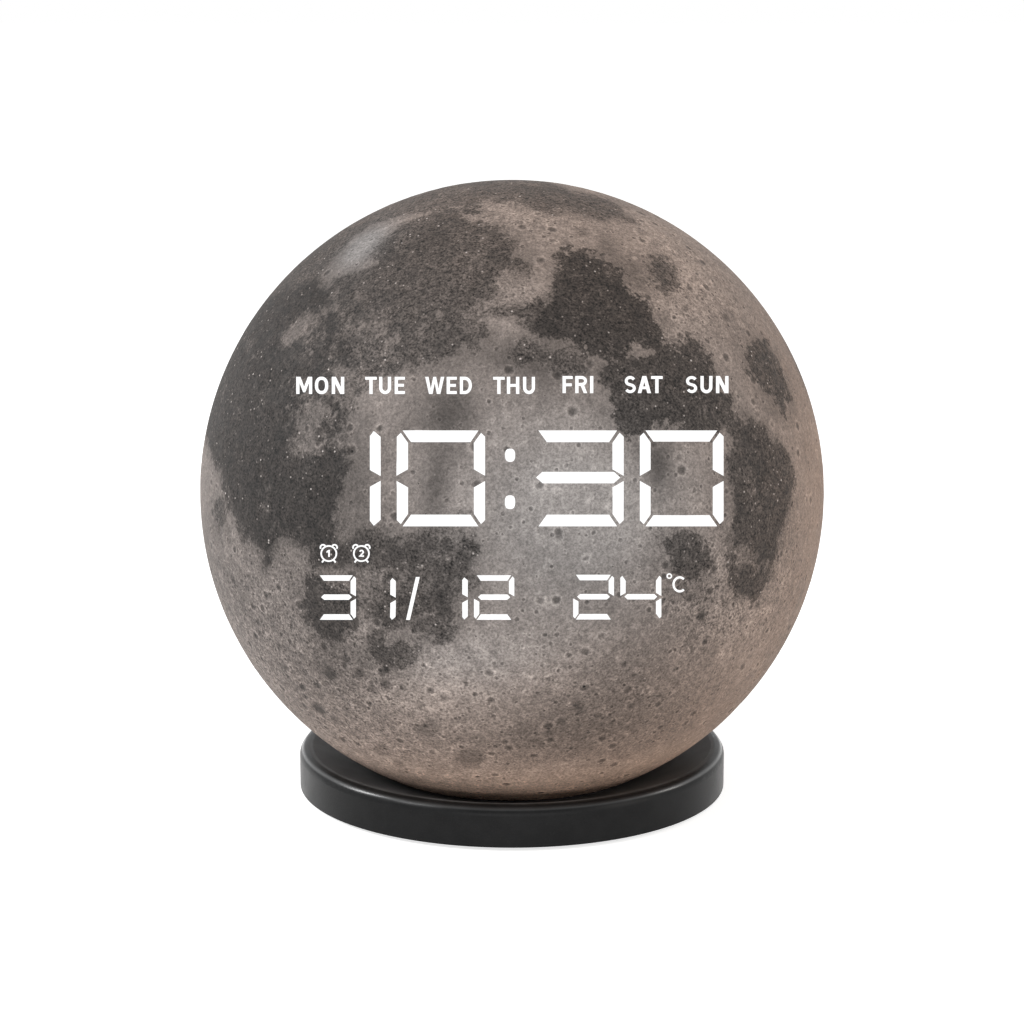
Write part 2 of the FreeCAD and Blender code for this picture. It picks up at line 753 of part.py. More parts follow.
board_back = f"({board_front} + board_thickness)"
board_half_height = f"({board_radius} * board_half_height_share)"
board_disc = rod("led_board_disc", board_radius, board_front, board_back)
board_slab = box("led_board_slab", (f"-{board_radius}", board_front, f"-{board_half_height}"),
                 (f"2 * {board_radius}", "board_thickness", f"2 * {board_half_height}"))
board_holes = []
display_screws = []
for label, (across, up) in enumerate(post_places):
    board_holes.append(rod(f"led_board_hole_{label}", "small_screw_radius + screw_hole_play",
                           f"{board_front} - overrun", f"{board_back} + overrun", across, up))
    one = screw(f"display_screw_{label}", "small_screw_radius", "small_screw_head_radius",
                "small_screw_head", "small_screw_length")
    one.Placement.Rotation = Rotation(Vector(1, 0, 0), 90)
    display_screws.append(bind(one, Placement__Base__x=across, Placement__Base__y=board_back,
                               Placement__Base__z=up))
keep("led_board", in_ball(cut("led_board_drilled", overlap("led_board_plate", board_disc, board_slab),
                              group("led_board_holes", board_holes))))
keep("display_screws", in_ball(group("display_screw_group", display_screws)))
keep("display_drivers", in_ball(group("display_driver_group", [
    box(f"driver_{side + 1}",
        (f"driver_across * {side} - driver_length / 2", board_back, "-driver_width / 2"),
        ("driver_length", "driver_height", "driver_width"))
    for side in (-1, 1)
])))

# Ribbon cable: creased flat cable between two sockets, one on each board

main_back = f"({panel_inner} - board_post_length)"
main_front = f"({main_back} - board_thickness)"
led_socket_end = f"({board_back} + socket_height)"
main_socket_end = f"({main_front} - socket_height)"
keep("board_connectors", in_ball(group("board_connector_group", [
    box("led_socket", ("-socket_width / 2", board_back, "led_socket_up - socket_depth / 2"),
        ("socket_width", "socket_height", "socket_depth")),
    box("main_socket", ("-socket_width / 2", main_socket_end, "main_socket_up - socket_depth / 2"),
        ("socket_width", "socket_height", "socket_depth")),
])))
ribbon_half = "ribbon_thickness / 2"
ribbon_body = document.addObject("PartDesign::Body", "ribbon_body")
ribbon_side = outline_sketch(ribbon_body, "YZ_Plane", [
    (led_socket_end, f"led_socket_up - {ribbon_half}"),
    (f"{led_socket_end} + ribbon_crease", f"led_socket_up - {ribbon_half}"),
    (f"{main_socket_end} - ribbon_crease", f"main_socket_up - {ribbon_half}"),
    (main_socket_end, f"main_socket_up - {ribbon_half}"),
    (main_socket_end, f"main_socket_up + {ribbon_half}"),
    (f"{main_socket_end} - ribbon_crease", f"main_socket_up + {ribbon_half}"),
    (f"{led_socket_end} + ribbon_crease", f"led_socket_up + {ribbon_half}"),
    (led_socket_end, f"led_socket_up + {ribbon_half}"),
])
bind(ribbon_side, AttachmentOffset__Base__z="-ribbon_width / 2")
ribbon_pad = ribbon_body.newObject("PartDesign::Pad", "ribbon_pad")
ribbon_pad.Profile = ribbon_side
bind(ribbon_pad, Length="ribbon_width")
keep("ribbon_cable", in_ball(ribbon_body))

# Control board: a disc on four posts of the rear panel, with its parts facing the panel

main_board_radius = f"({deck_inner_radius} - main_board_gap)"


def on_main_board(share):
    """A place on the control board as a share of its radius."""
    return f"({share} * {main_board_radius})"


board_posts = []
for row in ("upper", "lower"):
    for side in (-1, 1):
        board_posts.append((on_main_board(f"{row}_post_across_share * {side}"),
                            on_main_board(f"{row}_post_up_share")))
sensor_across = on_main_board("sensor_across_share")
sensor_up = on_main_board("sensor_up_share")
buzzer_across = on_main_board("buzzer_across_share")
buzzer_up = on_main_board("buzzer_up_share")
port_up = on_main_board("port_up_share")
main_board_disc = rod("main_board_disc", main_board_radius, main_front, main_back)
main_board_holes = []
board_screws = []
for place, (across, up) in enumerate(board_posts):
    main_board_holes.append(rod(f"main_board_hole_{place}", "small_screw_radius + screw_hole_play",
                                f"{main_front} - overrun", f"{main_back} + overrun", across, up))
    one = screw(f"board_screw_{place}", "small_screw_radius", "small_screw_head_radius",
                "small_screw_head", "small_screw_length")
    one.Placement.Rotation = Rotation(Vector(1, 0, 0), -90)
    board_screws.append(bind(one, Placement__Base__x=across, Placement__Base__y=main_front,
                             Placement__Base__z=up))
keep("main_board", in_ball(cut("main_board_drilled", main_board_disc,
                               group("main_board_holes", main_board_holes))))
keep("board_screws", in_ball(group("board_screw_group", board_screws)))
keep("microcontroller", in_ball(group("microcontroller_package", [
    box("microcontroller_chip",
        ("-chip_size / 2", f"{main_front} - chip_height", "chip_up - chip_size / 2"),
        ("chip_size", "chip_height", "chip_size")),
])))
keep("clock_crystal", in_ball(group("clock_crystal_can", [
    pillar("crystal_can", "crystal_radius", "chip_up - crystal_length / 2",
           "chip_up + crystal_length / 2", "chip_size / 2 + crystal_gap",
           f"{main_front} - crystal_radius"),
])))
keep("temperature_sensor", in_ball(fuse("temperature_sensor_bead", [
    rod("sensor_leg", "sensor_radius / 2", main_back, f"{main_back} + sensor_height",
        sensor_across, sensor_up),
    rod("sensor_bead", "sensor_radius", f"{main_back} + sensor_height - 2 * sensor_radius",
        f"{main_back} + sensor_height", sensor_across, sensor_up),
])))
keep("buzzer", in_ball(cut(
    "buzzer_can",
    rod("buzzer_body", "buzzer_radius", main_back, f"{main_back} + buzzer_height",
        buzzer_across, buzzer_up),
    rod("buzzer_mouth", "buzzer_hole_radius", f"{main_back} + buzzer_height - overrun",
        f"{main_back} + buzzer_height + overrun", buzzer_across, buzzer_up))))


def stadium(name, width, height, start, end, up):
    """A bar along +Y with half round ends, like the mouth of a small power socket."""
    straight = f"(({width}) - ({height})) / 2"
    return fuse(name, [
        box(f"{name}_middle", (f"-{straight}", start, f"{up} - ({height}) / 2"),
            (f"2 * {straight}", f"{end} - ({start})", height)),
        rod(f"{name}_left", f"({height}) / 2", start, end, f"-{straight}", up),
        rod(f"{name}_right", f"({height}) / 2", start, end, straight, up),
    ])


# Power socket: a steel shell that stands on the board and ends just inside the panel
port_end = f"({panel_plane} - port_set_back)"
port_floor = f"({port_end} - port_depth)"
port_shell_bar = stadium("port_bar", "port_width", "port_height", main_back, port_end, port_up)
port_hollow = stadium("port_hollow", "port_width - 2 * port_shell", "port_height - 2 * port_shell",
                      port_floor, f"{port_end} + overrun", port_up)
port_tongue = box("port_tongue", ("-tongue_width / 2", f"{port_floor} - overrun",
                                  f"{port_up} - tongue_thickness / 2"),
                  ("tongue_width", "port_depth", "tongue_thickness"))
keep("usb_socket", in_ball(fuse("usb_socket_solid", [
    cut("port_shell_cut", port_shell_bar, port_hollow), port_tongue])))

# Backup cell in its cup holder, under the battery door and clear of the button row
door_radius = "(cell_radius + door_reach)"
door_hub_radius = f"({door_radius} - door_step)"
notch_radius = f"({door_radius} + lug_reach + notch_gap)"
door_up = f"(button_row_up - {button_flange_radius} - {notch_radius} - door_row_gap)"
holder_radius = "(cell_radius + cell_play + holder_wall)"
keep("cell_holder", in_ball(cut(
    "cell_holder_cup",
    rod("holder_block", holder_radius, main_back, f"{main_back} + holder_height", up=door_up),
    rod("holder_bore", "cell_radius + cell_play", f"{main_back} + holder_floor",
        f"{main_back} + holder_height + overrun", up=door_up))))
cell_floor = f"({main_back} + holder_floor)"
keep("backup_cell", in_ball(fuse("backup_cell_solid", [
    rod("cell_can", "cell_radius", cell_floor, f"{cell_floor} + cell_thickness - cell_rim", up=door_up),
    rod("cell_cap", "cell_radius - holder_wall", f"{cell_floor} + cell_thickness - cell_rim",
        f"{cell_floor} + cell_thickness", up=door_up),
])))

# Push switches in a row, each with a plunger that its button presses

switch_top = f"({main_back} + switch_height)"
plunger_bottom = f"({switch_top} - plunger_sunk)"
flange_top = f"({panel_inner} - button_lift)"
flange_bottom = f"({flange_top} - button_flange)"
plunger_top = f"({flange_bottom} - stem_length)"
button_functions = ("set", "down", "up", "alarm", "light")
switch_blocks = []
switch_bores = []
button_places = []
for place, function in enumerate(button_functions):
    across = f"button_pitch * ({place} - (button_count - 1) / 2)"
    button_places.append(across)
    switch_blocks.append(box(
        f"switch_{function}", (f"{across} - switch_width / 2", main_back,
                               "button_row_up - switch_width / 2"),
        ("switch_width", "switch_height", "switch_width")))
    switch_bores.append(rod(
        f"switch_bore_{function}", "plunger_radius + plunger_play",
        f"{plunger_bottom} - button_travel - plunger_play", f"{switch_top} + overrun",
        across, "button_row_up"))
    plunger = rod(f"{function}_plunger", "plunger_radius", plunger_bottom, plunger_top,
                  across, "button_row_up")
    keep(f"plunger_{function}", in_ball(group(f"{function}_plunger_group", [plunger])))
keep("switch_bodies", in_ball(cut("switch_bodies_bored", group("switch_blocks", switch_blocks),
                                  group("switch_bores", switch_bores))))

# Buttons: caps with a flange behind the panel that keeps them in, and a stem on the plunger

cap_top = f"({panel_plane} + button_proud)"
for function, across in zip(button_functions, button_places):
    cap = turned(f"{function}_cap", "XY_Plane", [
        ("0", plunger_top),
        ("stem_radius", plunger_top),
        ("stem_radius", flange_bottom),
        (button_flange_radius, flange_bottom),
        (button_flange_radius, flange_top),
        ("button_radius", flange_top),
        ("button_radius", f"{cap_top} - button_edge", "button_edge", "left"),
        ("button_radius - button_edge", cap_top),
        ("0", cap_top),
    ])
    keep(f"button_{function}", in_ball(cap, across, "button_row_up"))

# Rear panel: a dark disc sunk in the back of the ball, with openings for all that it serves

panel_disc_radius = f"({panel_radius} - panel_play)"
panel_disc = turned("panel_disc", "XY_Plane", [
    ("0", panel_inner),
    (panel_disc_radius, panel_inner),
    (panel_disc_radius, f"{panel_plane} - panel_edge", "panel_edge", "left"),
    (f"{panel_disc_radius} - panel_edge", panel_plane),
    ("0", panel_plane),
])
panel_posts = []
panel_cutters = []
panel_outside = f"({panel_plane} + overrun)"
for place, (across, up) in enumerate(board_posts):
    panel_posts.append(rod(f"board_post_{place}", "board_post_radius", main_back, panel_inner, across, up))
    panel_cutters.append(rod(f"board_post_hole_{place}", "small_screw_radius", f"{main_back} - overrun",
                             f"{main_front} + small_screw_length + screw_hole_play", across, up))
for place, across in enumerate(button_places):
    panel_cutters.append(rod(f"button_hole_{place}", "button_radius + button_play",
                             f"{panel_inner} - overrun", panel_outside, across, "button_row_up"))
screw_seat = f"({panel_plane} - small_screw_head)"
for turn in panel_screw_angles:
    across, up = around(panel_screw_circle, turn)
    panel_cutters.append(fuse(f"panel_screw_hole_{turn}", [
        rod(f"panel_head_hole_{turn}", "small_screw_head_radius + screw_hole_play", screw_seat,
            panel_outside, across, up),
        rod(f"panel_shank_hole_{turn}", "small_screw_radius + screw_hole_play",
            f"{panel_inner} - overrun", panel_plane, across, up),
    ]))
for place in range(int(value("vent_count"))):
    rise = f"{sensor_up} + vent_pitch * ({place} - (vent_count - 1) / 2)"
    panel_cutters.append(box(f"vent_{place}",
                             (f"{sensor_across} - vent_length / 2", f"{panel_inner} - overrun",
                              f"{rise} - vent_width / 2"),
                             ("vent_length", "panel_thickness + 2 * overrun", "vent_width")))
for place, turn in enumerate((0, 60, 120, 180, 240, 300)):
    across, up = around("buzzer_radius / 2", turn)
    panel_cutters.append(rod(f"sound_hole_{place}", "buzzer_hole_radius", f"{panel_inner} - overrun",
                             panel_outside, f"{buzzer_across} + {across}", f"{buzzer_up} + {up}"))
panel_cutters.append(rod("sound_hole_middle", "buzzer_hole_radius", f"{panel_inner} - overrun",
                         panel_outside, buzzer_across, buzzer_up))
panel_cutters.append(stadium("port_window", "port_width + 2 * port_play", "port_height + 2 * port_play",
                             f"{panel_inner} - overrun", panel_outside, port_up))


def lug_bar(name, reach, width, start, end):
    """A bar across the door's centre, cut round at its ends."""
    return overlap(name, rod(f"{name}_round", reach, start, end),
                   box(f"{name}_bar", (f"-({reach})", start, f"-({width}) / 2"),
                       (f"2 * ({reach})", f"{end} - ({start})", width)))


door_opening = fuse("door_opening", [
    rod("door_round_opening", f"{door_radius} + door_play", f"{panel_inner} - overrun",
        panel_outside),
    lug_bar("door_notches", notch_radius, "lug_width + 2 * notch_gap",
            f"{panel_inner} - overrun", panel_outside),
])
bind(door_opening, Placement=f"create(<<placement>>; create(<<vector>>; 0; 0; {door_up});"
     " create(<<rotation>>; create(<<vector>>; 0; 1; 0); notch_turn))")
panel_cutters.append(door_opening)
panel_solid = fuse("panel_solid", [panel_disc] + panel_posts)
keep("rear_panel", in_ball(cut("rear_panel_cut", panel_solid, group("panel_cutters", panel_cutters))))

panel_screws = []
for turn in panel_screw_angles:
    across, up = around(panel_screw_circle, turn)
    one = screw(f"panel_screw_{turn}", "small_screw_radius", "small_screw_head_radius",
                "small_screw_head", "small_screw_length")
    one.Placement.Rotation = Rotation(Vector(1, 0, 0), 90)
    panel_screws.append(bind(one, Placement__Base__x=across, Placement__Base__y=screw_seat,
                             Placement__Base__z=up))
keep("panel_screws", in_ball(group("panel_screw_group", panel_screws)))

# Battery door: a round cover that turns a part turn on two lugs behind the panel

door_inner = f"({panel_plane} - door_skin)"
hub_bottom = f"({panel_inner} - door_hub_depth)"
door_body = turned("door_body", "XY_Plane", [
    ("0", door_inner),
    (f"{door_hub_radius} - door_hub_wall", door_inner),
    (f"{door_hub_radius} - door_hub_wall", hub_bottom),
    (door_hub_radius, hub_bottom),
    (door_hub_radius, panel_inner),
    (door_radius, panel_inner),
    (door_radius, panel_plane),
    ("0", panel_plane),
])
door_lugs = cut(
    "door_lugs",
    lug_bar("door_lug_bar", f"{door_radius} + lug_reach", "lug_width", hub_bottom,
            f"{hub_bottom} + lug_thickness"),
    rod("door_lug_gap", f"{door_hub_radius} - door_hub_wall / 2", f"{hub_bottom} - overrun",
        f"{panel_inner} + overrun"))
coin_slot = box("coin_slot", ("-coin_slot_length / 2", f"{panel_plane} - coin_slot_depth",
                              "-coin_slot_width / 2"),
                ("coin_slot_length", "coin_slot_depth + overrun", "coin_slot_width"))
keep("battery_door", in_ball(cut("battery_door_slotted",
                                 fuse("battery_door_solid", [door_body, door_lugs]), coin_slot),
                             up=door_up))

# Build, check every object and write one file for each piece

document.recompute()
for item in document.Objects:
    if "Invalid" in item.State or "Error" in item.State:
        raise RuntimeError(f"{item.Label} failed: {item.State}")
for node, item in NODES.items():
    if item.Shape.isNull() or not item.Shape.isValid() or not item.Shape.Solids:
        raise RuntimeError(f"{node} has no valid solid")

os.makedirs("parts", exist_ok=True)
for node, item in NODES.items():
    item.Shape.exportStep(f"parts/{node}.step")
    print(node, len(item.Shape.Solids), round(item.Shape.Volume))
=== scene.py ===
import math

import bmesh
import bpy
import numpy as np
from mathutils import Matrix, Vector


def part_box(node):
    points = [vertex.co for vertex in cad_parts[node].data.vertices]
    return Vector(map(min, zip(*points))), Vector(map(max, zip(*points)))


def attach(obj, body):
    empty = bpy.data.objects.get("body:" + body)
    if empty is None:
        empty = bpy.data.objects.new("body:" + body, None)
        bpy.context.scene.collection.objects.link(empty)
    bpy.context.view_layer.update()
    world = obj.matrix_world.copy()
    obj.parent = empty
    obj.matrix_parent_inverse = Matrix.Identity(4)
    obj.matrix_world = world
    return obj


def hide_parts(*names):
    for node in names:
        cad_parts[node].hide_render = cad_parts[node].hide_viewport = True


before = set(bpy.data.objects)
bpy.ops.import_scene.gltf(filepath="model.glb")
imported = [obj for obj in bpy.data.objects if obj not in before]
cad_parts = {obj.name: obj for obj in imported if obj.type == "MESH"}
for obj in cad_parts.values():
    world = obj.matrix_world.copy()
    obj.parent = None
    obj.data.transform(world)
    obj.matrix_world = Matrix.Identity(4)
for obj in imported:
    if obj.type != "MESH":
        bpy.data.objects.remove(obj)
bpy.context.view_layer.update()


# The camera. The photograph looks straight at the display, which leans back,
# so the camera stands on the display's own axis and looks down at that slant
# through a long lens.
MM = 0.001
PICTURE_WIDTH = 1024
PICTURE_HALF = PICTURE_WIDTH / 2
display_slant = math.radians(11.8)
camera_reach = 585 * MM
sensor_width = 36
focal_pixels = 2792
ball_row_in_picture = 491.9
nearest_seen, farthest_seen = 0.01, 20

shell_low, shell_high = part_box("front_shell")
ball_radius = -shell_low[1]
ball_centre = Vector((0, 0, shell_high[2] - ball_radius))
toward_camera = Vector((0, -math.cos(display_slant), math.sin(display_slant)))
eye = ball_centre + camera_reach * toward_camera

camera_pitch = display_slant + math.atan((PICTURE_HALF - ball_row_in_picture) / focal_pixels)
view_forward = Vector((0, math.cos(camera_pitch), -math.sin(camera_pitch)))
view_right = Vector((1, 0, 0))
view_up = view_right.cross(view_forward)


def placed_in_scene(name, data):
    """A new object of the scene that holds this mesh, lamp or camera."""
    thing = bpy.data.objects.new(name, data)
    bpy.context.collection.objects.link(thing)
    return thing


camera_data = bpy.data.cameras.new("camera")
camera_data.sensor_width = sensor_width
camera_data.lens = focal_pixels * sensor_width / PICTURE_WIDTH
camera_data.clip_start = nearest_seen
camera_data.clip_end = farthest_seen
camera = placed_in_scene("camera", camera_data)
camera.location = eye
camera.rotation_euler = (math.pi / 2 - camera_pitch, 0, 0)
bpy.context.scene.camera = camera
bpy.context.scene.view_settings.view_transform = "Standard"


def ray_through(across, down):
    """The direction from the camera through a place in the picture, not yet of unit length."""
    return (view_forward + view_right * ((across - PICTURE_HALF) / focal_pixels)
            + view_up * ((PICTURE_HALF - down) / focal_pixels))


# The studio: a sheet of pale paper that runs on behind the clock, a soft lamp high on the left, a
# weaker warm one on the right, a long low one in front and two small ones that edge the rim. The
# camera and mirrors see the paper and the room as white, and the paper keeps the clock's shadow.
class Wire:
    """One output in a material's or a shape's tree. Sums and products of wires are Math nodes."""

    def __init__(self, tree, socket=None):
        self.tree = tree
        self.socket = socket

    def add(self, kind, settings=None, values=None, output=0):
        """Adds a node, sets it up, then feeds its sockets. Returns one of its outputs."""
        node = self.tree.nodes.new(kind)
        for name, setting in (settings or {}).items():
            setattr(node, name, setting)
        for key, value in (values or {}).items():
            if isinstance(value, Wire):
                self.tree.links.new(value.socket, node.inputs[key])
            else:
                node.inputs[key].default_value = value
        return Wire(self.tree, node.outputs[output])

    def same(self, output):
        """Another output of the node that this one comes from."""
        return Wire(self.tree, self.socket.node.outputs[output])

    def maths(self, operation, first, second=0.0):
        return self.add("ShaderNodeMath", {"operation": operation}, {0: first, 1: second})

    def vectors(self, operation, first, second=None, scale=None, output=0):
        values = {0: first}
        if second is not None:
            values[1] = second
        if scale is not None:
            values["Scale"] = scale
        return self.add("ShaderNodeVectorMath", {"operation": operation}, values, output)

    def __add__(self, other):
        return self.maths("ADD", self, other)

    def __sub__(self, other):
        return self.maths("SUBTRACT", self, other)

    def __rsub__(self, other):
        return self.maths("SUBTRACT", other, self)

    def __mul__(self, other):
        return self.maths("MULTIPLY", self, other)

    def __truediv__(self, other):
        return self.maths("DIVIDE", self, other)

    __radd__ = __add__
    __rmul__ = __mul__

    def rise(self, start, end, low=0.0, high=1.0):
        """Low before start, high after end, and a soft slope between them."""
        return self.add("ShaderNodeMapRange", {"interpolation_type": "SMOOTHSTEP"},
                        {"Value": self, "From Min": start, "From Max": end,
                         "To Min": low, "To Max": high})

    def between(self, first, second):
        """The first colour where this wire is 0, the second where it is 1."""
        return self.add("ShaderNodeMix", {"data_type": "RGBA", "clamp_factor": True},
                        {0: self, 6: first, 7: second}, 2)

    def grain(self, place, size, detail=3.0, roughness=0.5):
        """Noise round 0.5 with patches of about this size, in metres."""
        return self.add("ShaderNodeTexNoise", None,
                        {"Vector": place, "Scale": 1 / size, "Detail": detail,
                         "Roughness": roughness})


def new_finish(name, **constants):
    """A material, its tree as a wire, its shader with constants set, and the places on a piece."""
    finish = bpy.data.materials.new(name)
    finish.use_nodes = True
    shader = finish.node_tree.nodes["Principled BSDF"]
    for socket, value in constants.items():
        shader.inputs[socket.replace("_", " ")].default_value = value
    tree = Wire(finish.node_tree)
    return finish, tree, shader, tree.add("ShaderNodeTexCoord", output="Object")


def feed(shader, socket, wire):
    wire.tree.links.new(wire.socket, shader.inputs[socket])


def emboss(shader, height, distance, strength):
    feed(shader, "Normal", height.add("ShaderNodeBump", None, {
        "Height": height, "Distance": distance, "Strength": strength}))


def seen_or_mirrored(tree):
    """1 for rays that come from the camera, off something glossy or through glass, else 0."""
    path = tree.add("ShaderNodeLightPath", output="Is Camera Ray")
    return path.maths("MINIMUM", path + path.same("Is Glossy Ray") + path.same("Is Transmission Ray"),
                      1.0)


paper_reach = 4.0
paper_white = 0.8
paper_glow = 0.72


def paper_finish():
    finish, tree, shader, place = new_finish("studio_paper", Roughness=0.9, Specular_IOR_Level=0.0)
    fibre = tree.grain(place, 4 * MM, 4.0)
    feed(shader, "Base Color", fibre.between((paper_white, paper_white, paper_white, 1),
                                             (paper_white, paper_white, paper_white * 0.99, 1)))
    glow = tree.add("ShaderNodeEmission", None, {"Strength": seen_or_mirrored(tree) * paper_glow})
    lit = tree.add("ShaderNodeAddShader", None,
                   {0: Wire(tree.tree, shader.outputs[0]), 1: glow})
    output = tree.tree.nodes["Material Output"]
    tree.tree.links.new(lit.socket, output.inputs["Surface"])
    return finish


paper_mesh = bpy.data.meshes.new("studio_paper")
paper_mesh.from_pydata([(-paper_reach, -paper_reach, 0), (paper_reach, -paper_reach, 0),
                        (paper_reach, paper_reach, 0), (-paper_reach, paper_reach, 0)],
                       [], [(0, 1, 2, 3)])
paper_mesh.materials.append(paper_finish())
placed_in_scene("studio_paper", paper_mesh)

room_light = 0.42


def light_the_room():
    world = bpy.data.worlds.new("studio_room")
    bpy.context.scene.world = world
    world.use_nodes = True
    strength = seen_or_mirrored(Wire(world.node_tree)).rise(0.0, 1.0, room_light, 1.0)
    background = world.node_tree.nodes["Background"]
    world.node_tree.links.new(strength.socket, background.inputs["Strength"])
    background.inputs["Color"].default_value = (1, 1, 1, 1)


def soft_lamp(name, place, aim_height, width, height, watts, colour=(1, 1, 1)):
    """A rectangle of light that looks at the clock's middle, this high above the paper."""
    lamp_data = bpy.data.lights.new(name, "AREA")
    lamp_data.shape = "RECTANGLE"
    lamp_data.size = width
    lamp_data.size_y = height
    lamp_data.energy = watts
    lamp_data.color = colour
    lamp = placed_in_scene(name, lamp_data)
    lamp.location = place
    way = Vector((0, 0, aim_height)) - Vector(place)
    lamp.rotation_euler = way.to_track_quat("-Z", "Y").to_euler()


light_the_room()
soft_lamp("left_softbox", (-0.85, -0.50, 0.74), aim_height=0.05, width=0.3, height=0.3, watts=4.4)
soft_lamp("right_softbox", (0.9, -0.5, 0.35), aim_height=0.06, width=0.5, height=0.7, watts=2.6,
          colour=(1.0, 0.94, 0.88))
soft_lamp("low_front_softbox", (0, -0.95, 0.08), aim_height=0.02, width=1.1, height=0.14, watts=1.9)
soft_lamp("left_edge_softbox", (-0.92, 0.10, 0.62), aim_height=0.01, width=0.20, height=0.34,
          watts=5.0)
soft_lamp("right_edge_softbox", (0.85, 0.20, 0.55), aim_height=0.01, width=0.12, height=0.25,
          watts=1.0, colour=(1.0, 0.95, 0.9))


# The foot pad: a disc of black rubber glued under the base. Its face is moulded with a fine
# pebble so that it grips the desk, and dust settles in it.
def dress(node, finish):
    """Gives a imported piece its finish."""
    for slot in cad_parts[node].material_slots:
        slot.material = finish


def rubber_finish():
    finish, tree, shader, place = new_finish("foot_rubber", Specular_IOR_Level=0.25)
    pebble = tree.grain(place, 0.5 * MM, 3.0, 0.6)
    dust = tree.grain(place, 9 * MM, 5.0, 0.6)
    feed(shader, "Base Color", (dust.rise(0.45, 0.75) * 0.5 + pebble * 0.3).between(
        (0.012, 0.012, 0.012, 1), (0.034, 0.033, 0.032, 1)))
    feed(shader, "Roughness", dust.rise(0.3, 0.7, 0.78, 0.95))
    emboss(shader, pebble, 0.05 * MM, 0.6)
    return finish


dress("foot_pad", rubber_finish())


# The base: a dished shell and its cover, both moulded in charcoal plastic. The mould is spark
# eroded, which leaves an even satin grain. The dish is painted a paler, mottled grey: painted
# light for the lamps that fall into it. A thin paler line round the rim's round is a painted
# highlight, with a clear coat on it that catches the lamps.
base_charcoal = (0.0060, 0.0062, 0.0066, 1)
base_rubbed = (0.0120, 0.0123, 0.0128, 1)
# Painted light: the paler grey that the dish is lifted to, for the light that falls into it.
dish_painted_light = (0.110, 0.112, 0.114, 1)
# A painted highlight: the thin paler line round the rim's round.
rim_painted_highlight = (0.030, 0.031, 0.032, 1)
dish_edge = 43.4 * MM
dish_low, dish_high = 3 * MM, 4 * MM
rim_height, rim_reach = 8.62 * MM, 0.42 * MM


def base_finish():
    finish, tree, shader, place = new_finish("base_plastic", Specular_IOR_Level=0.13,
                                             Coat_Roughness=0.24)
    spark = tree.grain(place, 0.28 * MM, 3.0, 0.65)
    cloud = tree.grain(place, 7 * MM, 4.0, 0.6)
    speck = tree.add("ShaderNodeTexVoronoi", None, {"Vector": place, "Scale": 1 / (0.9 * MM)})
    fleck = speck.rise(0.16, 0.06)
    wear = cloud.rise(0.35, 0.7) * 0.6 + spark.rise(0.45, 0.7) * 0.4 + fleck * 0.35
    level = tree.add("ShaderNodeSeparateXYZ", None, {0: place}, "Z")
    out = tree.vectors("LENGTH", tree.vectors("MULTIPLY", place, (1, 1, 0)), output="Value")
    dish = out.rise(dish_edge, dish_edge - 0.5 * MM) * level.rise(dish_low, dish_high)
    # The painted highlight along the rim's round, uneven along its length, with a clear coat on it.
    line = (tree.maths("ABSOLUTE", level - rim_height).rise(rim_reach, 0)
            * out.rise(dish_edge, dish_edge + 0.4 * MM) * (0.6 + cloud * 0.8))
    plain = wear.between(base_charcoal, base_rubbed)
    # Painted light in the dish, mottled by the same wear pattern as the rest of the base.
    dish_light_added = (dish * (0.45 + wear * 0.55)).between(plain, dish_painted_light)
    feed(shader, "Base Color", line.between(dish_light_added, rim_painted_highlight))
    feed(shader, "Coat Weight", line * 0.9)
    feed(shader, "Roughness", (cloud * 0.5 + spark * 0.5).rise(0.3, 0.7, 0.28, 0.40) + dish * 0.16)
    emboss(shader, spark - fleck * 0.5, 0.022 * MM, 0.8)
    return finish


base_plastic = base_finish()
dress("base_shell", base_plastic)
dress("base_cover", base_plastic)


# The ballast: a steel ring laid in the base so that the ball can't tip it. It is stamped from
# rolled sheet, so it carries the mill's grain and a thin film of oil.
def metal_finish(name, film, scratch, stretch, scratch_share, dark, light, sheen, depth):
    """A bare metal: a clouded film on it, and scratches or a mill's grain drawn out one way."""
    finish, tree, shader, place = new_finish(name, Metallic=1.0)
    drawn = tree.add("ShaderNodeMapping", None, {"Vector": place, "Scale": stretch})
    haze = tree.grain(place, *film)
    marks = tree.grain(drawn, *scratch)
    feed(shader, "Base Color", haze.rise(0.3, 0.7).between(dark, light))
    worn = marks * scratch_share + haze * (1 - scratch_share)
    feed(shader, "Roughness", worn.rise(0.3, 0.7, *sheen))
    emboss(shader, marks, depth, 0.5)
    return finish


dress("ballast_ring", metal_finish(
    "ballast_steel", film=(6 * MM, 4.0, 0.6), scratch=(1.5 * MM, 4.0, 0.6),
    stretch=(1.0, 14.0, 14.0), scratch_share=0.7, dark=(0.36, 0.35, 0.34, 1),
    light=(0.47, 0.46, 0.45, 1), sheen=(0.28, 0.5), depth=0.008 * MM))


# The screws: zinc plated steel, the same in every size. The plating is a little uneven and
# finely scratched.
screw_steel = metal_finish(
    "screw_steel", film=(0.7 * MM, 4.0, 0.6), scratch=(0.12 * MM, 2.0, 0.5),
    stretch=(1.0, 1.0, 1.0), scratch_share=0.4, dark=(0.26, 0.26, 0.28, 1),
    light=(0.50, 0.49, 0.48, 1), sheen=(0.22, 0.42), depth=0.004 * MM)
for node in ("ball_screws", "display_screws", "board_screws", "panel_screws"):
    dress(node, screw_steel)


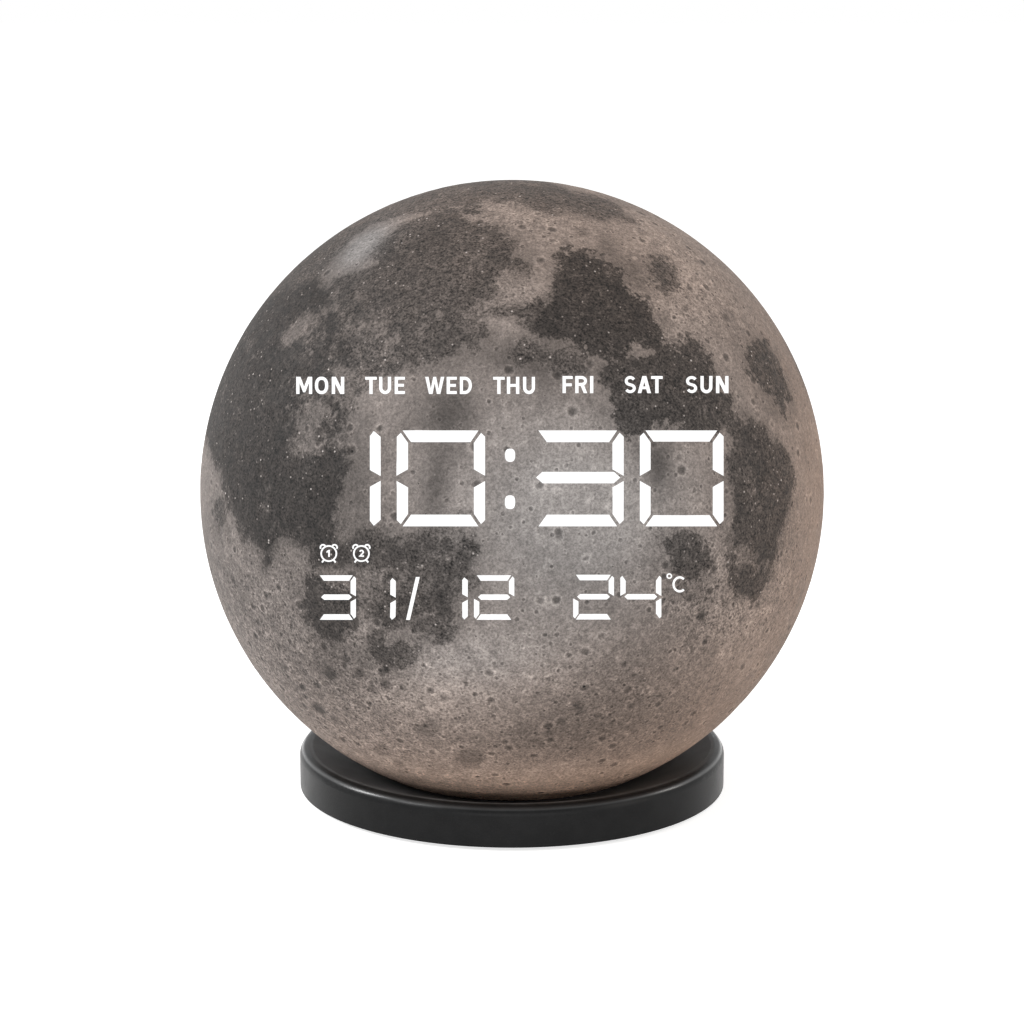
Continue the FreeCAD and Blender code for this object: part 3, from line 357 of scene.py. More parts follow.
# The plug plate and the cell's holder: plain inner mouldings in pale grey plastic. Nobody sees
# them, so they keep the flow lines of the mould.
def moulded_finish(name, dark, light, grain_size, sleekest, dullest):
    """A moulded plastic: clouded colour, a spark eroded grain and an uneven sheen."""
    finish, tree, shader, place = new_finish(name, Specular_IOR_Level=0.5)
    flow = tree.grain(place, 5 * MM, 5.0, 0.6)
    spark = tree.grain(place, grain_size, 3.0, 0.6)
    feed(shader, "Base Color", (flow * 0.6 + spark * 0.4).rise(0.32, 0.68).between(dark, light))
    feed(shader, "Roughness", flow.rise(0.3, 0.7, sleekest, dullest))
    emboss(shader, spark, 0.01 * MM, 0.7)
    return finish


inner_plastic = moulded_finish("inner_plastic", (0.30, 0.30, 0.29, 1), (0.38, 0.38, 0.37, 1),
                               0.25 * MM, 0.42, 0.6)
dress("seat_plate", inner_plastic)
dress("cell_holder", inner_plastic)


# The light mask: black plastic with one well for each lit mark, dull inside so that no light
# leaks from one well into the next.
dress("light_mask", moulded_finish("mask_plastic", (0.010, 0.010, 0.010, 1),
                                   (0.017, 0.017, 0.017, 1), 0.18 * MM, 0.7, 0.9))


# The diffuser: a milky liner behind the ball's skin that evens out the light of each well. It is
# pressed from thin sheet and held between the skin and the mask.
dress("diffuser", moulded_finish("diffuser_plastic", (0.68, 0.68, 0.66, 1),
                                 (0.76, 0.76, 0.74, 1), 0.4 * MM, 0.38, 0.5))


# The diodes: white light-emitting chips under a yellow gel. They glow through the wells, so
# their faces are bright and their edges show the gel.
def lit_finish(name, haze, slope, faces, glows, **constants):
    """A surface that shines, a little uneven both in its own colour and in its glow."""
    finish, tree, shader, place = new_finish(name, **constants)
    uneven = tree.grain(place, *haze).rise(*slope)
    feed(shader, "Base Color", uneven.between(*faces))
    feed(shader, "Emission Color", uneven.between(*glows))
    return finish


dress("segment_leds", lit_finish(
    "lit_diode", haze=(0.5 * MM, 3.0, 0.6), slope=(0.35, 0.65),
    faces=((0.75, 0.62, 0.25, 1), (0.85, 0.78, 0.50, 1)),
    glows=((0.95, 0.92, 0.84, 1), (1.0, 0.99, 0.96, 1)), Roughness=0.4, Emission_Strength=0.8))


# The two circuit boards: glass cloth under a green lacquer, with copper tracks that show as
# lighter lines and small tinned holes.
def board_finish():
    finish, tree, shader, place = new_finish("circuit_board", Specular_IOR_Level=0.55)
    bend = tree.add("ShaderNodeTexNoise", None, {"Vector": place, "Scale": 1 / (9 * MM),
                                                 "Detail": 0.0}, "Color")
    bent = tree.vectors("ADD", place, tree.vectors("SCALE", bend, scale=2.5 * MM))
    across = tree.add("ShaderNodeTexWave", {"bands_direction": "X"},
                      {"Vector": bent, "Scale": 1 / (3.2 * MM)}, "Fac").rise(0.86, 0.92)
    along = tree.add("ShaderNodeTexWave", {"bands_direction": "Z"},
                     {"Vector": bent, "Scale": 1 / (3.9 * MM)}, "Fac").rise(0.88, 0.94)
    region = tree.grain(place, 12 * MM, 1.0).rise(0.48, 0.52)
    track = across * region + along * (1 - region)
    holes = tree.add("ShaderNodeTexVoronoi", None, {"Vector": place, "Scale": 1 / (4.4 * MM)})
    via = holes.rise(0.10, 0.08)
    lacquer = track.between((0.008, 0.072, 0.030, 1), (0.016, 0.130, 0.055, 1))
    feed(shader, "Base Color", via.between(lacquer, (0.55, 0.54, 0.52, 1)))
    feed(shader, "Metallic", via * 0.9)
    feed(shader, "Roughness", (track + via).rise(0.0, 1.0, 0.34, 0.26))
    emboss(shader, track + via, 0.02 * MM, 0.6)
    return finish


circuit_board = board_finish()
dress("led_board", circuit_board)
dress("main_board", circuit_board)


# The chips, the switch bodies and the buzzer: moulded in black epoxy with a fine matt skin, and
# soldered to the boards.
chip_plastic = moulded_finish("chip_plastic", (0.012, 0.012, 0.013, 1), (0.024, 0.024, 0.025, 1),
                              0.12 * MM, 0.45, 0.62)
for node in ("display_drivers", "microcontroller", "switch_bodies", "buzzer"):
    dress(node, chip_plastic)


# The sockets of the ribbon and the switches' plungers: moulded in ivory nylon, slightly glossy.
# The sockets are soldered to the boards, and each plunger slides in its switch.
connector_plastic = moulded_finish("connector_plastic", (0.62, 0.59, 0.50, 1),
                                   (0.72, 0.69, 0.60, 1), 0.3 * MM, 0.32, 0.45)
for node in ("board_connectors", "plunger_set", "plunger_down", "plunger_up", "plunger_alarm",
             "plunger_light"):
    dress(node, connector_plastic)


# The ribbon cable: flat grey vinyl drawn over parallel strands, so it is ribbed along its run. It
# is pushed into a socket on each board.
def ribbon_finish():
    finish, tree, shader, place = new_finish("ribbon_plastic", Specular_IOR_Level=0.45)
    strand = tree.add("ShaderNodeTexWave", {"bands_direction": "X"},
                      {"Vector": place, "Scale": 1 / (4 * MM)}, "Fac")
    scuff = tree.grain(place, 2 * MM, 4.0, 0.6)
    feed(shader, "Base Color", (strand * 0.5 + scuff * 0.5).between((0.16, 0.16, 0.17, 1),
                                                                   (0.34, 0.34, 0.35, 1)))
    feed(shader, "Roughness", scuff.rise(0.3, 0.7, 0.35, 0.5))
    emboss(shader, strand, 0.1 * MM, 0.6)
    return finish


dress("ribbon_cable", ribbon_finish())


# The power socket, the cell and the crystal's can: nickel plated, drawn smooth, with the light
# scratches of handling.
nickel = metal_finish(
    "bright_metal", film=(2.5 * MM, 5.0, 0.6), scratch=(1.2 * MM, 3.0, 0.6),
    stretch=(1.0, 1.0, 20.0), scratch_share=0.5, dark=(0.62, 0.60, 0.56, 1),
    light=(0.74, 0.72, 0.68, 1), sheen=(0.16, 0.34), depth=0.004 * MM)
for node in ("usb_socket", "backup_cell", "clock_crystal"):
    dress(node, nickel)


# The temperature sensor: a bead of black resin dipped over the element, glossy and uneven. It
# stands on the control board by the vents.
dress("temperature_sensor", moulded_finish("sensor_resin", (0.014, 0.013, 0.012, 1),
                                           (0.030, 0.028, 0.026, 1), 0.8 * MM, 0.16, 0.3))


# The rear panel and the battery door: charcoal plastic like the base, with a coarser grain
# that hides finger marks.
panel_plastic = moulded_finish("panel_plastic", (0.012, 0.012, 0.013, 1),
                               (0.046, 0.046, 0.047, 1), 0.42 * MM, 0.42, 0.58)
dress("rear_panel", panel_plastic)
dress("battery_door", panel_plastic)


# The five buttons: soft touch plastic a shade lighter than the panel. Each has its sign printed
# on its cap in white ink, drawn flat and set a hair above the plastic.
button_plastic = moulded_finish("button_plastic", (0.060, 0.060, 0.062, 1),
                                (0.085, 0.085, 0.087, 1), 0.2 * MM, 0.5, 0.66)
button_names = ("set", "down", "up", "alarm", "light")
ink_thickness = 0.03 * MM
ink_lift = 0.01 * MM
sign_size = 1.7 * MM


def ink_finish():
    finish, tree, shader, place = new_finish("white_ink", Roughness=0.55, Specular_IOR_Level=0.3)
    rubbed = tree.grain(place, 0.35 * MM, 4.0, 0.7).rise(0.30, 0.55)
    feed(shader, "Base Color", rubbed.between((0.50, 0.50, 0.49, 1), (0.74, 0.74, 0.72, 1)))
    return finish


white_ink = ink_finish()
panel_across = Vector((-1, 0, 0))
panel_out = Vector((0, math.cos(display_slant), -math.sin(display_slant)))
panel_up = panel_out.cross(panel_across)


def ring_of(count, radius, start=0.0, sweep=2 * math.pi, centre=(0, 0)):
    """Points on an arc, in order. A full turn doesn't repeat its first point."""
    steps = count if sweep >= 2 * math.pi else count - 1
    return [(centre[0] + radius * math.cos(start + sweep * step / steps),
             centre[1] + radius * math.sin(start + sweep * step / steps))
            for step in range(count)]


def band_along(points, width, closed=False):
    """Faces of a flat stroke of this width that follows the points, its corners mitred."""
    sides = []
    for index, point in enumerate(points):
        here = Vector(point)
        ways = []
        if closed or index:
            ways.append((here - Vector(points[index - 1])).normalized())
        if closed or index < len(points) - 1:
            ways.append((Vector(points[(index + 1) % len(points)]) - here).normalized())
        way = sum(ways, Vector((0, 0))).normalized()
        reach = width / 2 / max(way.dot(ways[0]), 0.5)
        sides.append(((here.x - way.y * reach, here.y + way.x * reach),
                      (here.x + way.y * reach, here.y - way.x * reach)))
    faces = [[first[0], first[1], second[1], second[0]]
             for first, second in zip(sides, sides[1:] + sides[:1])]
    return faces if closed else faces[:-1]


def alarm_clock(case, line, bell, bell_place, bell_turns, foot, foot_line):
    """An alarm clock without its hands. The case is (points, radius), a bell (points, radius,
    sweep in degrees, width), and a foot the two ends of the right one."""
    faces = band_along(ring_of(case[0], case[1]), line, closed=True)
    for side, turn in zip((-1, 1), bell_turns):
        faces += band_along(ring_of(bell[0], bell[1], math.radians(turn), math.radians(bell[2]),
                                    (side * bell_place[0], bell_place[1])), bell[3])
        faces += band_along([(side * foot[0], foot[1]), (side * foot[2], foot[3])], foot_line)
    return faces


clock_sign = (alarm_clock((28, 0.62), 0.20, (6, 0.26, 150, 0.2), (0.60, 0.66), (60, -30),
                          (0.44, -0.52, 0.66, -0.84), 0.2)
              + band_along([(0, 0.36), (0, 0), (0.26, -0.12)], 0.16))
sun_sign = [ring_of(24, 0.36)]
gear_sign = band_along(ring_of(24, 0.46), 0.26, closed=True)
for inner, sun_tip, gear_tip in zip(ring_of(8, 0.54), ring_of(8, 0.86), ring_of(8, 0.80)):
    sun_sign += band_along([inner, sun_tip], 0.16)
    gear_sign += band_along([inner, gear_tip], 0.26)
button_signs = {
    "set": gear_sign,
    "down": [[(-0.72, 0.45), (0, -0.72), (0.72, 0.45)]],
    "up": [[(-0.72, -0.45), (0.72, -0.45), (0, 0.72)]],
    "alarm": clock_sign,
    "light": sun_sign,
}


def piece_of(name, mesh):
    """Makes a worked mesh an object of the scene."""
    data = bpy.data.meshes.new(name)
    mesh.to_mesh(data)
    mesh.free()
    return placed_in_scene(name, data)


def face_toward(mesh, way):
    for face in mesh.faces:
        face.normal_update()
        if face.normal.dot(way) < 0:
            face.normal_flip()


def printed(name, faces, centre, size, body):
    """Flat ink on the back of the clock: faces drawn round a centre, given a thickness."""
    mesh = bmesh.new()
    for face in faces:
        corners = [mesh.verts.new(centre + panel_across * (x * size) + panel_up * (y * size))
                   for x, y in face]
        mesh.faces.new(corners)
    bmesh.ops.remove_doubles(mesh, verts=mesh.verts[:], dist=1e-7)
    bmesh.ops.recalc_face_normals(mesh, faces=mesh.faces[:])
    face_toward(mesh, panel_out)
    top = bmesh.ops.extrude_face_region(mesh, geom=mesh.faces[:])["geom"]
    bmesh.ops.translate(mesh, vec=panel_out * ink_thickness,
                        verts=[item for item in top if isinstance(item, bmesh.types.BMVert)])
    bmesh.ops.recalc_face_normals(mesh, faces=mesh.faces[:])
    piece = piece_of(name, mesh)
    piece.data.materials.append(white_ink)
    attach(piece, body)


def outer_face(node):
    """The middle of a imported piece's outermost face, as seen from behind the clock."""
    points = np.array([point.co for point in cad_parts[node].data.vertices])
    depth = points @ np.array(panel_out)
    face = points[depth > depth.max() - ink_lift]
    return Vector((face.max(0) + face.min(0)) / 2)


for button in button_names:
    dress("button_" + button, button_plastic)
    printed("sign_" + button, button_signs[button],
            outer_face("button_" + button) + panel_out * ink_lift, sign_size, button + "_button")


# The ball: two halves moulded in translucent plastic and printed with the face of the moon.
# They meet in a plane square to the display, with a fine groove where they join, and the
# print runs over the groove. The pits are pressed into the skin by the mould.
skin_sink = 0.06 * MM
skin_radius = ball_radius - skin_sink
shell_wall = 1.8 * MM
seam_lead = 0.16 * MM
seam_groove = 0.14 * MM
ball_flat_height = shell_low[2]
skin_divisions = 8
skin_tolerance = 0.05 * MM
inner_rings = 8
rear_ring_share = 0.052
opening_radius = 32.98 * MM
opening_distance = math.sqrt(ball_radius ** 2 - opening_radius ** 2)
opening_lead = 0.25 * MM
opening_step = 0.12 * MM
deck_depth = 3.4 * MM
deck_inner_radius = 27.5 * MM
display_axis = -toward_camera


def axis_level(distance):
    """The point that lies this far behind the ball's centre on the display's axis."""
    return ball_centre + display_axis * distance


def score(mesh, point, normal, drop=False, nearness=1e-7):
    """Cuts a line of edges where a plane crosses the mesh, and may drop what lies past it."""
    bmesh.ops.bisect_plane(mesh, geom=mesh.verts[:] + mesh.edges[:] + mesh.faces[:],
                           dist=nearness, plane_co=point, plane_no=normal, clear_outer=drop)


def push_on(mesh, edges, move):
    """Extrudes open edges, moves the new points and returns the new edges."""
    grown = bmesh.ops.extrude_edge_only(mesh, edges=edges)["geom"]
    for point in [item for item in grown if isinstance(item, bmesh.types.BMVert)]:
        point.co = move(point.co)
    return [item for item in grown if isinstance(item, bmesh.types.BMEdge) and item.is_boundary]


def open_edges(mesh, wanted):
    return [edge for edge in mesh.edges
            if edge.is_boundary and wanted((edge.verts[0].co + edge.verts[1].co) / 2)]


def toward_pole(point, pole, share, radius):
    """Moves a point of the ball this share of the way round to a pole, at another radius."""
    ray = (point - ball_centre).normalized()
    return ball_centre + ray.slerp(pole, share) * radius


def toward_axis(point):
    """Moves a point straight in to the inner edge of the deck round the rear opening."""
    centre = axis_level((point - ball_centre).dot(display_axis))
    return centre + (point - centre).normalized() * deck_inner_radius


def ball_half(name, behind):
    """One half of the ball as a closed shell, the skin finely divided for the pits."""
    side = display_axis if behind else -display_axis
    mesh = bmesh.new()
    bmesh.ops.create_icosphere(mesh, subdivisions=skin_divisions, radius=skin_radius)
    bmesh.ops.translate(mesh, verts=mesh.verts[:], vec=ball_centre)
    score(mesh, ball_centre, -side, drop=True)
    score(mesh, Vector((0, 0, ball_flat_height)), Vector((0, 0, -1)), drop=True)
    score(mesh, ball_centre + side * seam_lead, side)
    if behind:
        score(mesh, axis_level(opening_distance), display_axis, drop=True)
        score(mesh, axis_level(opening_distance - opening_lead), display_axis)

    def beside_opening(point):
        return behind and (point - ball_centre).dot(display_axis) > opening_distance - 1e-5

    rim = open_edges(mesh, lambda point: not beside_opening(point))
    for point in {point for edge in rim for point in edge.verts}:
        point.co = ball_centre + (point.co - ball_centre).normalized() * (skin_radius - seam_groove)
    inner_radius = skin_radius - shell_wall
    rim = push_on(mesh, rim, lambda point: toward_pole(point, side, 0, inner_radius))
    for ring in range(inner_rings):
        share = rear_ring_share if behind else 1 / (inner_rings - ring)
        rim = push_on(mesh, rim, lambda point: toward_pole(point, side, share, inner_radius))
    if behind:
        edge = open_edges(mesh, beside_opening)
        for point in {point for item in edge for point in item.verts}:
            point.co -= display_axis * opening_step
        edge = push_on(mesh, edge, lambda point: point - display_axis * deck_depth)
        edge = push_on(mesh, edge, toward_axis)
        edge = push_on(mesh, edge, lambda point: point - display_axis * shell_wall)
        bmesh.ops.bridge_loops(mesh, edges=edge + rim)
    bmesh.ops.remove_doubles(mesh, verts=mesh.verts[:], dist=1e-8)
    bmesh.ops.recalc_face_normals(mesh, faces=mesh.faces[:])
    return piece_of(name, mesh)


def new_shape(name, **inputs):
    """Starts a shape tree with named inputs: a number's value, or else the socket's kind."""
    tree = bpy.data.node_groups.new(name, "GeometryNodeTree")
    tree.interface.new_socket("Mesh", in_out="OUTPUT", socket_type="NodeSocketGeometry")
    for title, given in {"Mesh": "Geometry", "Finish": "Material", **inputs}.items():
        kind = given if isinstance(given, str) else "Int" if isinstance(given, int) else "Float"
        socket = tree.interface.new_socket(title.replace("_", " "), in_out="INPUT",
                                           socket_type="NodeSocket" + kind)
        if not isinstance(given, str):
            socket.default_value = given
    return Wire(tree).add("NodeGroupInput")


def end_shape(start, shape):
    """Ends a shape tree in real faces with their finish."""
    realized = start.add("GeometryNodeRealizeInstances", None, {"Geometry": shape})
    finished = start.add("GeometryNodeSetMaterial", None,
                         {"Geometry": realized, "Material": start.same("Finish")})
    end = start.tree.nodes.new("NodeGroupOutput")
    start.tree.links.new(finished.socket, end.inputs[0])
    return start.tree


def pit_tree():
    """Presses round pits of many sizes into a ball's skin and notes their depth, from which the
    finish paints shade into their bowls and light onto their lips.
    """
    start = new_shape("pitted_skin", Centre="Vector", Skin_radius=skin_radius,
                      Pits_per_square_metre=24000.0, Smallest_pit=0.7 * MM, Largest_pit=3.6 * MM,
                      Size_bias=5.0, Depth_share=0.05, Highest_lip=0.03 * MM, Seed=5)
    place = start.add("GeometryNodeInputPosition")
    ray = start.vectors("SUBTRACT", place, start.same("Centre"))
    height = start.vectors("LENGTH", ray, output="Value")
    on_skin = start.add("FunctionNodeCompare", {"data_type": "FLOAT", "operation": "GREATER_THAN"},
                        {0: height, 1: start.same("Skin radius") - skin_tolerance})
    scattered = start.add("GeometryNodeDistributePointsOnFaces", {"distribute_method": "RANDOM"},
                          {"Mesh": start.same("Mesh"), "Selection": on_skin,
                           "Density": start.same("Pits per square metre"),
                           "Seed": start.same("Seed")})
    chance = start.add("FunctionNodeRandomValue", {"data_type": "FLOAT"},
                       {"Seed": start.same("Seed")}, 1)
    spread = start.same("Largest pit") - start.same("Smallest pit")
    size = start.same("Smallest pit") + spread * start.maths("POWER", chance, start.same("Size bias"))
    sized = start.add("GeometryNodeStoreNamedAttribute", {"data_type": "FLOAT", "domain": "POINT"},
                      {"Geometry": scattered, "Name": "pit_radius", "Value": size})
    nearest = start.add("GeometryNodeSampleNearest", {"domain": "POINT"}, {"Geometry": sized})
    pit_place = start.add("GeometryNodeSampleIndex", {"data_type": "FLOAT_VECTOR"},
                          {"Geometry": sized, "Value": start.add("GeometryNodeInputPosition"),
                           "Index": nearest})
    pit_name = start.add("GeometryNodeInputNamedAttribute", {"data_type": "FLOAT"},
                         {"Name": "pit_radius"})
    pit_radius = start.add("GeometryNodeSampleIndex", {"data_type": "FLOAT"},
                           {"Geometry": sized, "Value": pit_name, "Index": nearest})
    offset = start.vectors("DISTANCE", place, pit_place, output="Value") / pit_radius
    bowl = offset.rise(1.0, 0.35)
    lip = offset.rise(0.7, 1.0) * offset.rise(1.55, 1.05)
    drop = (lip * 0.25 - bowl) * pit_radius * start.same("Depth share")
    limited = start.maths("MINIMUM", drop, start.same("Highest lip"))
    outward = start.vectors("NORMALIZE", ray)
    moved = start.add("GeometryNodeSetPosition", None,
                      {"Geometry": start.same("Mesh"), "Selection": on_skin,
                       "Offset": start.vectors("SCALE", outward, scale=limited)})
    noted = start.add("GeometryNodeStoreNamedAttribute", {"data_type": "FLOAT", "domain": "POINT"},
                      {"Geometry": moved, "Selection": on_skin, "Name": "pit",
                       "Value": lip * 0.5 - bowl})
    return end_shape(start, noted)


def run_tree(piece, tree, **inputs):
    """Runs a shape tree on a piece and leaves the result as its plain mesh."""
    work = piece.modifiers.new("shape", "NODES")
    work.node_group = tree
    identifiers = {item.name: item.identifier for item in tree.interface.items_tree
                   if item.in_out == "INPUT"}
    for name, value in inputs.items():
        work[identifiers[name]] = value
    depsgraph = bpy.context.evaluated_depsgraph_get()
    shaped = bpy.data.meshes.new_from_object(piece.evaluated_get(depsgraph),
                                             preserve_all_data_layers=True, depsgraph=depsgraph)
    piece.modifiers.remove(work)
    shaped.name = piece.name
    piece.data = shaped


# Places in the photograph, as (across, down) in pixels. Each dark plain has a darkness, the
# width in millimetres over which its coast fades, and an outline, across and down in turn.
dark_plains = {
    "northern band": (0.080, 1.2, [
        212, 330, 236, 282, 262, 244, 318, 202, 392, 172, 450, 168, 530, 172, 575, 190, 612, 200,
        628, 218, 604, 217, 575, 211, 545, 206, 515, 200, 470, 200, 430, 207, 370, 227, 350, 241,
        336, 260, 318, 284, 292, 310]),
    "sea of rains": (0.063, 1.3, [
        331, 276, 358, 270, 372, 262, 376, 248, 395, 230, 424, 222, 436, 214, 455, 212, 470, 220,
        498, 224, 512, 238, 520, 252, 532, 263, 538, 280, 524, 300, 500, 304, 474, 306, 462, 316,
        478, 326, 490, 336, 482, 346, 466, 352, 446, 366, 420, 369, 394, 368, 356, 366, 330, 345,
        318, 300]),
    "western ocean": (0.032, 2.0, [
        331, 276, 350, 300, 362, 330, 360, 362, 350, 395, 356, 420, 352, 452, 346, 490, 344, 512,
        348, 530, 340, 545, 330, 562, 314, 566, 306, 552, 296, 546, 282, 552, 276, 562, 262, 556,
        248, 545, 237, 520, 229, 490, 216, 468, 204, 430, 196, 400, 200, 360, 216, 322, 240, 290,
        280, 262]),
    "southern arm": (0.058, 1.5, [
        346, 528, 362, 524, 378, 530, 392, 522, 412, 532, 430, 524, 452, 526, 470, 534, 477, 548,
        472, 562, 470, 578, 474, 592, 464, 606, 460, 620, 450, 634, 440, 640, 428, 634, 415, 636,
        404, 628, 396, 634, 384, 622, 372, 610, 366, 596, 358, 584, 346, 572, 338, 556]),
    "round western sea": (0.046, 0.8, [
        299, 592, 304, 580, 318, 574, 334, 578, 347, 582, 353, 596, 346, 610, 352, 624, 346, 640,
        332, 644, 316, 634, 306, 620, 300, 606]),
    "small southern marsh": (0.068, 0.5, [
        360, 650, 366, 642, 378, 638, 386, 646, 400, 642, 404, 652, 394, 660, 384, 668, 374, 666,
        364, 662]),
    "eastern round sea": (0.038, 0.8, [
        553, 270, 563, 258, 584, 256, 598, 262, 606, 270, 622, 262, 634, 274, 640, 290, 652, 306,
        661, 322, 668, 344, 676, 356, 656, 362, 640, 356, 618, 368, 598, 362, 570, 346, 548, 340,
        531, 326, 538, 300]),
    "eastern bight": (0.072, 0.6, [
        650, 262, 660, 257, 667, 268, 670, 282, 664, 290, 656, 282]),
    "quiet sea": (0.045, 0.9, [
        596, 364, 620, 352, 646, 346, 660, 342, 680, 344, 700, 350, 708, 364, 716, 380, 730, 398,
        724, 420, 700, 430, 672, 434, 640, 440, 612, 432, 600, 402]),
    "eastern oval": (0.056, 0.4, [
        744, 352, 754, 340, 766, 342, 778, 360, 789, 388, 793, 406, 786, 418, 774, 412, 760, 392,
        750, 372]),
    "fertile sea": (0.048, 1.4, [
        728, 415, 748, 413, 768, 430, 786, 460, 790, 500, 784, 540, 772, 572, 757, 592, 742, 590,
        733, 560, 726, 520, 722, 480, 736, 450]),
    "southern round sea": (0.054, 1.0, [
        663, 540, 677, 531, 695, 535, 703, 552, 706, 568, 697, 582, 684, 584, 672, 574, 662, 560]),
    "walled plain": (0.040, 0.4, [
        466, 213, 470, 209, 480, 209, 485, 213, 481, 217, 471, 217]),
    "western limb crater": (0.066, 0.4, [
        215, 503, 219, 500, 222, 510, 221, 524, 218, 533, 215, 522]),
    "central smudge": (0.090, 0.9, [
        506, 346, 530, 340, 552, 348, 590, 358, 588, 370, 550, 372, 515, 368]),
}
land_lightness = 0.213
plain_warmth, far_warmth, plain_ruggedness = 0.18, 0.35, 0.25
coast_blend = 1.2
far_plains = [(96, 25, 14, 9), (140, -30, 9, 12), (175, 8, 7, 6), (-150, 42, 8, 7),
              (-120, -18, 11, 7)]
far_darkness, far_fade = 0.09, 0.9
far_side_start = 0.3
farthest_shore, deepest_outside = 8, -20

# Soft patches: (across, down, half width, half height, turn in degrees, strength). A cloud
# lightens or darkens the print, and the painted light at the foot lifts it where the base shades
# the ball. A mist breaks a dark plain up with pale ground, warm ground is browner and rough ground
# thick with small pits. A pock: (across, down, radius, darkness).
clouds = {
    "bright middle": (580, 475, 130, 100, 0, 0.42),
    "light south": (474, 682, 98, 54, -10, 0.56),
    "dim middle south": (620, 620, 80, 50, 0, -0.10),
    "dim under the sign": (664, 640, 44, 34, 0, -0.14),
    "light far south": (430, 700, 60, 30, 0, 0.10),
    "dim south east": (620, 705, 110, 60, 0, -0.26),
    "dim foot": (530, 745, 150, 40, 0, -0.42),
    "dim south west": (326, 696, 74, 50, 30, -0.24),
    "light crown": (520, 176, 170, 20, 0, 0.30),
    "light north east": (672, 250, 70, 46, 35, 0.26),
    "streaked bay": (548, 228, 40, 22, 30, -0.05),
    "pale plain": (436, 416, 42, 32, -10, -0.50),
    "pale plain east": (458, 410, 26, 34, 0, -0.38),
    "dim by the notch": (552, 390, 22, 20, 0, -0.36),
    "dim north west": (300, 258, 56, 38, -42, -0.60),
    "upper western limb": (232, 292, 60, 22, -54, -0.40),
    "dim west": (258, 606, 50, 60, 0, -0.30),
    "dim by the alarm": (332, 556, 22, 14, 0, -0.55),
    "pale step": (534, 292, 28, 16, 0, 0.55),
    "bright bay": (364, 244, 36, 10, -38, 0.45),
    "smudge by the quiet sea": (650, 458, 20, 24, 0, -0.42),
    "first smudge": (436, 488, 15, 28, 8, -0.70),
    "second smudge": (445, 455, 24, 20, 0, -0.24),
    "third smudge": (660, 474, 15, 34, 0, -0.60),
    "fourth smudge": (606, 247, 12, 14, 0, -0.46),
    "fifth smudge": (640, 270, 26, 15, 30, -0.40),
    "sixth smudge": (514, 314, 14, 10, 0, -0.25),
    "brown notch": (520, 360, 50, 16, 8, -0.50),
    "east of the notch": (588, 366, 26, 12, 0, -0.30),
    "dim south coast": (330, 660, 22, 22, 0, -0.30),
    "dim by the marsh": (392, 672, 42, 26, 0, -0.24),
    # Painted light: the print lifted along the ball's foot, where the base shades it.
    "painted light at the foot": (512, 806, 200, 24, 0, 2.3),
    "ridge": (554, 330, 18, 20, 0, -0.36),
    "east of the rains": (474, 252, 28, 40, 0, 0.40),
    "veil by the quiet sea": (690, 470, 26, 22, 0, -0.14),
    "pale strip": (720, 440, 8, 20, -20, 0.10),
    "mottled coast": (705, 595, 34, 30, 0, -0.20),
    "ocean shore": (350, 490, 26, 40, 0, -0.25),
    "lowland by the arm": (364, 480, 20, 60, 0, -0.24),
    "dark stroke": (267, 562, 5, 12, 20, -0.40),
    "western limb": (208, 560, 22, 76, 0, -0.34),
}
mists = {
    "ray head": (290, 336, 9, 5, -40, 1.3),
    "ray tail": (312, 318, 34, 8, -34, 0.85),
    "ray mist": (330, 322, 60, 22, -30, 0.25),
    "first ray star": (310, 418, 15, 22, 10, 0.95),
    "second ray star": (307, 447, 15, 12, 0, 0.85),
    "third ray star": (350, 428, 10, 30, 25, 0.80),
    "bay of mist": (338, 384, 40, 34, 0, 0.55),
    "lighter isle": (347, 512, 14, 20, 0, 0.95),
    "small bright peak": (440, 313, 5, 5, 0, 1.1),
    "small bright ring": (397, 339, 5, 5, 0, 0.9),
    "light patch in the rains": (478, 312, 22, 9, -20, 0.9),
    "light cape": (520, 288, 26, 20, 0, 1.6),
    "middle of the rains": (385, 330, 50, 30, 0, 0.35),
    "broken arm": (400, 570, 70, 30, 0, 0.28),
    "pale bay": (362, 246, 36, 8, -38, 0.9),
    "foot of the arm": (420, 628, 40, 14, 0, 0.45),
    "neck of the arm": (362, 578, 30, 16, 0, 0.95),
    "head of the arm": (460, 524, 26, 16, 0, 1.0),
    "fertile foot": (744, 556, 14, 18, 0, 0.8),
    "break in the arm": (372, 600, 10, 20, 0, 0.55),
    "fertile gap": (738, 470, 16, 40, 0, 0.25),
}
warm_ground = {
    "middle": (590, 530, 130, 130, 0, -0.28), "crown": (520, 195, 230, 60, 0, 0.30),
    "north east": (650, 285, 130, 80, 30, 0.16), "eastern limb": (830, 480, 50, 230, 0, 0.66),
    "south east": (710, 730, 120, 80, -40, 0.34), "foot": (530, 805, 220, 50, 0, 0.80),
    "bay": (364, 244, 40, 16, -38, -0.45), "south": (470, 660, 90, 30, 0, -0.12),
}
rough_ground = {
    "south west": (315, 690, 85, 60, 25, 1.0),
    "west": (240, 600, 40, 70, 0, 0.6),
    "south": (480, 745, 150, 36, 0, 0.35),
    "south east": (620, 700, 95, 60, 0, 0.40),
    "eastern coast": (712, 595, 45, 55, 0, 1.0),
    "far east": (775, 560, 26, 90, 0, 0.5),
    "north": (520, 205, 120, 22, 0, 0.5),
    "north east": (690, 280, 60, 60, 0, 0.45),
}
